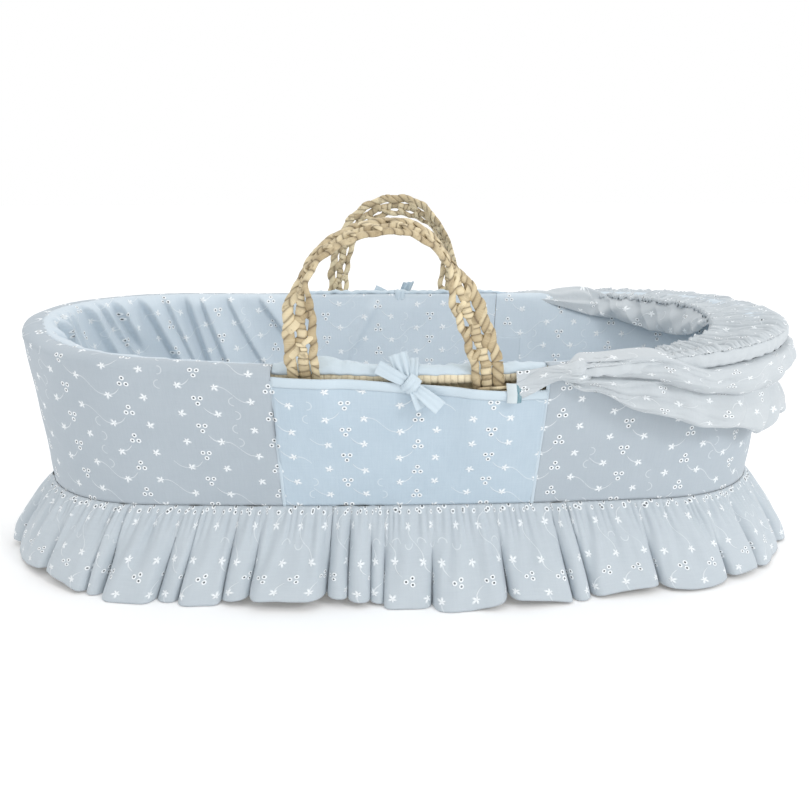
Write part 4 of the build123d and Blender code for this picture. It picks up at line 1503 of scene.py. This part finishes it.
def hood_band():
    """The hood's pleated band, from the hoop inwards to its elastic edge, with the small ruffle there."""
    share, t = shares(1900, 46)
    x, y, nx, ny = hoop_point(share)
    start_x = x + nx * (CHANNEL_HALF - 0.001)
    start_y = y + ny * (CHANNEL_HALF - 0.001)
    angle = EDGE_SPAN * (2 * share - 1)
    radius = edge_radius(angle) + 0.0025 * ripples(share, 0 * t, 72, (0.02, 0.06), 0.1)
    inner_x = EDGE_CENTRE + radius * np.cos(angle)
    inner_y = radius * np.sin(angle)
    px = start_x + (inner_x - start_x) * t
    py = start_y + (inner_y - start_y) * t
    corner = smooth(0.0, 0.15, from_corner(share, HOOP_ARC))
    rise_up = 0.0074 * (0.62 + 0.38 * corner) + (0.0050 - 0.0050 * corner) * (1 - (1 - t) ** 3)
    sag = 0.003 * np.sin(math.pi * t) * ripples(share, t * 0.3, 73, (0.1, 0.4))
    ridge = pleats(share, t, 74)
    full = 0.2 + 0.8 * smooth(0.06, 0.15, from_corner(share, HOOP_ARC))
    amount = 0.0078 * smooth(-0.05, 0.14, t) * (1 - 0.35 * t) * full
    second = 0.0005 * ripples(share * 0.9, t * 0.05, 75, (0.004, 0.010), 0.6)
    ruffle = smooth(0.955, 1.0, t)
    lift = ridge * amount + second * smooth(0, 0.1, t) * full + sag
    frilled = ripples(share * 0.8, 0 * t, 76, (0.007, 0.016), 0.1)
    hem = smooth(0.985, 1.0, t)
    lift = lift + ruffle * (0.0014 + 0.0012 * frilled) - 0.0050 * hem
    pz = hood_height(px, rise_up + lift)
    points = xyz(px, py, pz)
    band = grid_mesh("hood_band_cloth", points, xyz(share * HOOP_ARC * 2.0, t * 0.09), hood_cotton)
    place(thicken(band, HOOD_CLOTH), "hood", "eyelet_cotton", "hood_band")
    out = xyz(np.cos(angle), np.sin(angle), 0)[::5, -1]
    edge = points[::5, -1] + out * 0.0030
    edge[:, 2] = hood_height(edge[:, 0], 0.0045)
    up = everywhere((0, 0, 1), edge)
    name = "hood_edge_elastic_cord"
    elastic = leaf_strand(name, edge, out, up, ELASTIC_HALF, wrap=0.05, lean=0, seed=77, material=tape)
    place(elastic, "hood", "elastic", "hood_edge_elastic")
    return band


def channel():
    """The casing round the hoop: a rounded band of cloth, slightly wrinkled."""
    share, v = shares(500, 28, closed=True)
    x, y, nx, ny = hoop_point(share)
    angle = 2 * math.pi * v
    s = share * HOOP_ARC
    crumple = 0.0008 * ripples(s, v * 0.05, 81, (0.010, 0.030), 1.2)
    pinch = 0.0006 * np.sin(s / 0.0024 + 2 * ripples(s, 0 * s, 82, (0.05, 0.2), 0.1))
    to_corner = from_corner(share, HOOP_ARC)
    narrow = 0.55 + 0.45 * smooth(0.0, 0.020, to_corner)
    tall = CHANNEL_TALL * (0.62 + 0.38 * smooth(0.0, 0.15, to_corner)) * narrow
    out_by = (CHANNEL_HALF + 0.0004 + crumple + pinch * 0.6) * squarer(np.cos(angle), 0.7) * narrow
    up_by = (tall + crumple) * squarer(np.sin(angle), 0.7)
    px = x + nx * out_by
    points = xyz(px, y + ny * out_by, hood_height(px, up_by))
    casing = tube_mesh("hood_channel_casing", points, xyz(s, v * 0.05), hood_plain)
    place(casing, "hood", "eyelet_cotton", "hood_channel")


def smooth_steps(value, marks, heights):
    """A smooth curve through the heights at the marks."""
    marks, heights = np.array(marks), np.array(heights)
    slope = np.gradient(heights, marks)
    index = np.clip(np.searchsorted(marks, value, side="right") - 1, 0, len(marks) - 2)
    width = marks[index + 1] - marks[index]
    t = (value - marks[index]) / width
    start = (2 * t**3 - 3 * t**2 + 1) * heights[index] + (t**3 - 2 * t**2 + t) * width * slope[index]
    end = (-2 * t**3 + 3 * t**2) * heights[index + 1] + (t**3 - t**2) * width * slope[index + 1]
    return start + end


CROWN_X = 0.160  # where its two corners are
CROWN_START = HOOP.u_at(CROWN_X, front=True) - 1
CROWN_END = HOOP.u_at(CROWN_X, front=False)
CROWN_OUT = 0.0138  # from the rim's middle line to the cloth's innermost fold
CORNER_UP = 0.2480  # height of the bundle that its corners are pinched into
WALL_LEAN = 0.012 / 0.165  # how far the wall comes in for each metre down


CROWN_ARC = (CROWN_END - CROWN_START) * HOOP.length


def crown_folds(s, w, to_corner):
    """How far the crown's folds stand out: deep ones at the corners, gathers and a flap at the head."""
    drift = 0.5 * ripples(s, w * 0.02, 92, (0.15, 0.4), 0.4)
    corner_folds = humps(4.3 * w + drift, 0.8) - 0.5
    folds = 0.0062 * corner_folds * (1 - 0.8 * smooth(0.05, 0.28, to_corner)) * smooth(0, 0.03, to_corner)
    fine_folds = humps(8.5 * w + 1.6 * drift + s / 0.09, 0.7) - 0.5
    folds += 0.0022 * fine_folds * (1 - smooth(0.08, 0.26, to_corner)) * smooth(0.01, 0.04, to_corner)
    gathers = np.sin(s / 0.0028 + 3 * ripples(s, w * 0.1, 93, (0.04, 0.12), 0.6))
    folds += 0.0013 * gathers * (1 - smooth(0.12, 0.40, w)) * smooth(0.20, 0.38, to_corner)
    broad = ripples(s, w * 0.12, 94, (0.030, 0.085), 2.4)
    folds += 0.0042 * broad * smooth(0.0, 0.16, to_corner) * smooth(0.08, 0.3, w)
    crossing = humps(s / 0.085 + w * 0.9 + drift, 0.6) - 0.6
    folds += 0.0045 * crossing * smooth(0.10, 0.22, to_corner) * smooth(0.45, 0.75, w)
    # The flap sticks out in a blunt point at the head, a little towards the front.
    stick = bell(s, CROWN_ARC * 0.5 - 0.060, 0.034) * smooth(0.52, 0.75, w)
    return folds + 0.008 * stick * (1 - smooth(0.86, 1.0, w))


def crown():
    """The crown's cloth, bunched round the outside of the head end below the hoop."""
    share, w = shares(700, 110)
    s = share * CROWN_ARC
    x, y, nx, ny = rim_oval.at(CROWN_START + (CROWN_END - CROWN_START) * share)
    to_corner = from_corner(share, CROWN_ARC)
    cover = 1 - smooth(0.100, 0.165, to_corner)  # near the corners its top lies over the hoop's casing
    depth = 0.018 + 0.026 * smooth(0, 0.13, to_corner) + 0.034 * smooth(0.08, 0.24, to_corner)
    depth = depth + 0.014 * smooth(0.2, 0.36, to_corner) + 0.004 * ripples(s, 0 * s, 91, (0.10, 0.30), 0.1)
    # The profile goes down over the upper bulge, in at the crease, out over the flap and back under it.
    marks = (0.0, 0.12, 0.30, 0.46, 0.54, 0.66, 0.80, 0.90, 1.0)
    down = smooth_steps(w, marks, (0.0, 0.04, 0.26, 0.46, 0.50, 0.72, 0.96, 1.0, 0.80))
    out = smooth_steps(w, marks, (0.55, 0.95, 1.15, 0.62, 0.42, 0.80, 0.85, 0.45, 0.08))
    fat = 0.007 + 0.013 * smooth(0.02, 0.14, to_corner) + 0.004 * smooth(0.20, 0.38, to_corner)
    over_top = cover * (1 - smooth(0.0, 0.13, w)) * smooth(0.0, 0.03, to_corner)
    folds = crown_folds(s, w, to_corner) * (1 - 0.6 * over_top)
    out_by = CROWN_OUT + fat * out + folds - 0.026 * over_top
    top_z = hood_height(x, -0.0085 + 0.0205 * cover)
    wave = 0.006 * ripples(s, 0 * s, 95, (0.06, 0.16), 0.1) * smooth(0.5, 0.9, w)
    pz = top_z - (depth + 0.018 * cover + wave) * down + 0.0015 * ripples(s, w * 0.1, 96, (0.05, 0.1))
    pinched = 1 - smooth(-0.004, 0.028, to_corner)
    pz = pz + (CORNER_UP + 0.016 * (0.5 - w) - pz) * pinched
    out_by = out_by - WALL_LEAN * (RIM_LEVEL - pz)
    points = xyz(x + nx * out_by, y + ny * out_by, pz)
    return grid_mesh("hood_crown_cloth", points, xyz(s, w * 0.20), hood_cotton)


band = hood_band()
channel()
crown_cloth = crown()
finish_piece(crown_cloth, "eyelet_cotton", "hood_crown")
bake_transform(crown_cloth)
thicken(crown_cloth, HOOD_CLOTH, 1.0)


DROOP_START = -16  # bearings from the head end, in degrees
DROOP_SPAN = 100


def droop():
    """The slack of the band that falls inside the basket at the back of the hood."""
    share, w = shares(320, 46)
    degrees = DROOP_START + DROOP_SPAN * share
    angle = np.radians(degrees)
    marks = (-16, -6, 4, 20, 31, 44, 58, 72, 84)
    fall = smooth_steps(degrees, marks, (0.001, 0.010, 0.026, 0.038, 0.037, 0.029, 0.024, 0.011, 0.002))
    s = share * EDGE_RADIUS * math.radians(DROOP_SPAN)
    slack = 0.006 * ripples(s, w * 0.05, 97, (0.030, 0.080), 1.8) * smooth(0.05, 0.35, w)
    tuck = 0.0025 * (humps(s / 0.024 + 1.2 * w, 0.7) - 0.5) * smooth(0.0, 0.2, w)
    hanging = np.clip(fall / 0.025, 0, 1)
    inside = EDGE_RADIUS + 0.004 - 0.006 * smooth(50, 84, degrees)
    inside = inside + edge_dip(angle)
    top_radius = edge_radius(angle) + 0.004
    radius = top_radius + (inside - top_radius) * smooth(0.0, 0.3, w)
    radius = radius + hanging * (slack + tuck - 0.016 * np.sin(math.pi * 0.7 * w))
    px = EDGE_CENTRE + radius * np.cos(angle)
    py = radius * np.sin(angle)
    # Near the hinge it lies over the rim before it hangs down inside.
    ahead = np.linspace(0.25, 0.0, 500)
    rim_x, rim_y, _, _ = rim_oval.at(ahead)
    middle_y = np.interp(px, rim_x[rim_x.argsort()], rim_y[rim_x.argsort()])
    over_rim = smooth(46, 62, degrees)
    thin_out = 1 - smooth(64, 84, degrees)
    inside_y = middle_y - ROLL_ACROSS - (0.0075 + 0.25 * fall) * (0.25 + 0.75 * thin_out)
    py = py + (np.minimum(py, inside_y) - py) * over_rim * smooth(0.0, 0.45, w)
    wrinkles = np.sin(34 * w + 2.5 * ripples(s, w * 0.02, 98, (0.04, 0.1), 0.3))
    proud = -0.0005 + 0.0060 * thin_out + 0.0012 * wrinkles
    gap = (py - middle_y) / (ROLL_ACROSS + proud)
    roll_z = rim_level(px, 1.0) + (ROLL_UP + proud) * np.sqrt(np.clip(1 - gap**2, 0, 1))
    pz = hood_height(px, 0.0085) - fall * w
    pz = np.where((np.abs(gap) < 1) & (w < 0.6), np.maximum(pz, roll_z - 0.2 * fall * w), pz)
    cloth = grid_mesh("hood_inner_cloth", xyz(px, py, pz), xyz(s, w * 0.04), hood_cotton)
    place(thicken(cloth, HOOD_CLOTH), "hood", "eyelet_cotton", "hood_band")


droop()


TIE_END_X = 0.176  # where the corner's cloth goes under the hood
CINCH = 0.62  # share of its length at which it is cinched
CINCH_Z = 0.2495
SEWN_Z = {"front": 0.2360, "back": 0.2440}  # where it is sewn to the skirt


def hood_tie(side):
    """The hood's corner, cinched into a bundle beside the hinge and fanned out to where it is sewn."""
    front = side == "front"
    along, v = shares(120, 56)
    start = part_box(f"hood_tie_{side}")[0][0] - 0.004
    x = start + (TIE_END_X - start) * along
    u = np.array([rim_oval.u_at(value, front) for value in x[:, 0]])[:, None] + 0 * along
    cx, cy, nx, ny = rim_oval.at(u)
    spread = np.clip((CINCH - along) / CINCH, 0, 1)
    beyond = np.clip((along - CINCH) / (1 - CINCH), 0, 1)
    half = 0.0070 + 0.0068 * smooth(0.0, 1.0, spread) + 0.0042 * smooth(0, 1.0, beyond)
    over_eye = bell(x, HOOD_X + 0.001, 0.0105)
    half = half + 0.0016 * over_eye
    middle_z = CINCH_Z + (SEWN_Z[side] - CINCH_Z) * smooth(0, 1, spread)
    z = middle_z + half * (2 * v - 1)
    round_out = np.sqrt(np.clip(1 - (2 * v - 1) ** 2, 0, 1))
    base = 0.0200 - 0.0060 * smooth(0, 1.0, spread) - 0.0060 * smooth(0, 1, beyond)
    bundle = 0.0085 * round_out * (1 - 0.55 * smooth(0, 0.9, spread)) + 0.0085 * round_out * over_eye
    seed = 101 if front else 102
    wander = 0.5 * ripples(along * 0.06, v * 0.03, seed, (0.02, 0.06))
    slanting = humps(2.2 * v + 0.9 * along + wander, 0.6) - 0.5
    crossing = humps(1.6 * v - 1.1 * along + 2 * wander, 0.6) - 0.5
    close = smooth(0.15, 0.7, along)
    gathered = humps(5.5 * v + 0.5 * along + wander, 0.7) - 0.5
    folds = 0.0020 * slanting * (0.5 + close) + 0.0016 * crossing + 0.0013 * gathered * close
    out_by = base + bundle + folds
    points = xyz(cx + nx * out_by, cy + ny * out_by, z)
    cloth = grid_mesh(f"hood_tie_{side}_cloth", points, xyz(x, v * 0.05), hood_cotton)
    thicken(cloth, HOOD_CLOTH, -OUTWARDS[side])
    place(cloth, "basket", "plain_cotton", f"hood_tie_{side}")


hood_tie("front")
hood_tie("back")


# ------------------------------------------------------------------ labels
TAB_ASIDE = 0.014


def tab():
    """A small folded tab at the slot's corner, with a plain teal stripe along one edge."""
    low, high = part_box("tab_label")
    a, v = shares(24, 30)
    tall = high[2] - low[2]
    x = low[0] - TAB_ASIDE + TAB_WIDE * a + 0.0006 * np.sin(5 * v)
    z = low[2] - 0.003 + tall * v
    y = low[1] - 0.0028 - 0.0022 * np.sin(math.pi * a) - 0.0006 * np.cos(9 * v)
    piece = grid_mesh("tab_label_cloth", xyz(x, y, z), xyz(a * TAB_WIDE, v * tall), tab_cloth)
    place(thicken(piece, 0.0010), "basket", "tab_cotton", "tab_label")


tab()


def care():
    """The blank care label sewn flat on the head end's lining, at the back beside the seam."""
    low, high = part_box("care_label")
    a, v = shares(30, 30)
    x = low[0] + (high[0] - low[0]) * a
    ahead = np.linspace(0.25, 0.0, 500)
    u = np.interp(x, rim_oval.at(ahead)[0], ahead)
    cx, cy, nx, ny = rim_oval.at(u)
    ox, oy, _, _ = lining_low_oval.at(u)
    z = low[2] + (high[2] - low[2]) * v
    top_z = level_top(x, ny)
    share = (top_z - z) / (top_z - LINING_BOTTOM)
    top_x, top_y = cx - nx * LINING_TOP, cy - ny * LINING_TOP
    px = top_x + (ox - top_x) * share
    py = top_y + (oy - top_y) * share
    inward = 0.0044  # so that it lies on the lining and not in it
    points = xyz(px - nx * inward, py - ny * inward, z)
    piece = grid_mesh("care_label_satin", points, xyz(x, z), care_satin)
    place(thicken(piece, 0.0004), "basket", "label_satin", "care_label")


care()


# ------------------------------------------------------------------ mattress
MATTRESS_CORNER = 0.012  # how far its edge rounds in
SEAM_RIDGE = 0.0006
RING_STEP = 0.008  # length of cover between two rings, for its weave


def mattress():
    """The mattress: a pad in a plain cotton cover with a low ridge at the seam half way up."""
    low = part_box("mattress_cover_base")[0]
    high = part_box("mattress_cover_top")[1]
    outline = Oval(high[0], high[1])
    middle, half = (low[2] + high[2]) / 2, (high[2] - low[2]) / 2
    u = np.linspace(0, 1, 240, endpoint=False)
    x, y, nx, ny = outline.at(u)
    rings = []
    for angle in np.linspace(-math.pi / 2, math.pi / 2, 25):
        inset = MATTRESS_CORNER * (1 - abs(math.cos(angle)) ** 0.6) - SEAM_RIDGE * bell(angle, 0, 0.12)
        z = middle + half * squarer(math.sin(angle), 0.55)
        rings.append(xyz(x - nx * inset, y - ny * inset, z))
    last, first = rings[-1], rings[0]
    for scale in np.linspace(1, 0.004, 16)[1:]:
        rings.append(xyz(last[:, 0] * scale, last[:, 1] * scale, high[2]))
        rings.insert(0, xyz(first[:, 0] * scale, first[:, 1] * scale, low[2]))
    arc = np.arange(len(rings)) * RING_STEP
    pad = tube_mesh("mattress_pad", np.array(rings), xyz(u * outline.length, arc[:, None]), mattress_cloth)
    place(pad, "mattress", "mattress_cotton", "mattress_foam", "mattress_cover_base", "mattress_cover_top")


mattress()
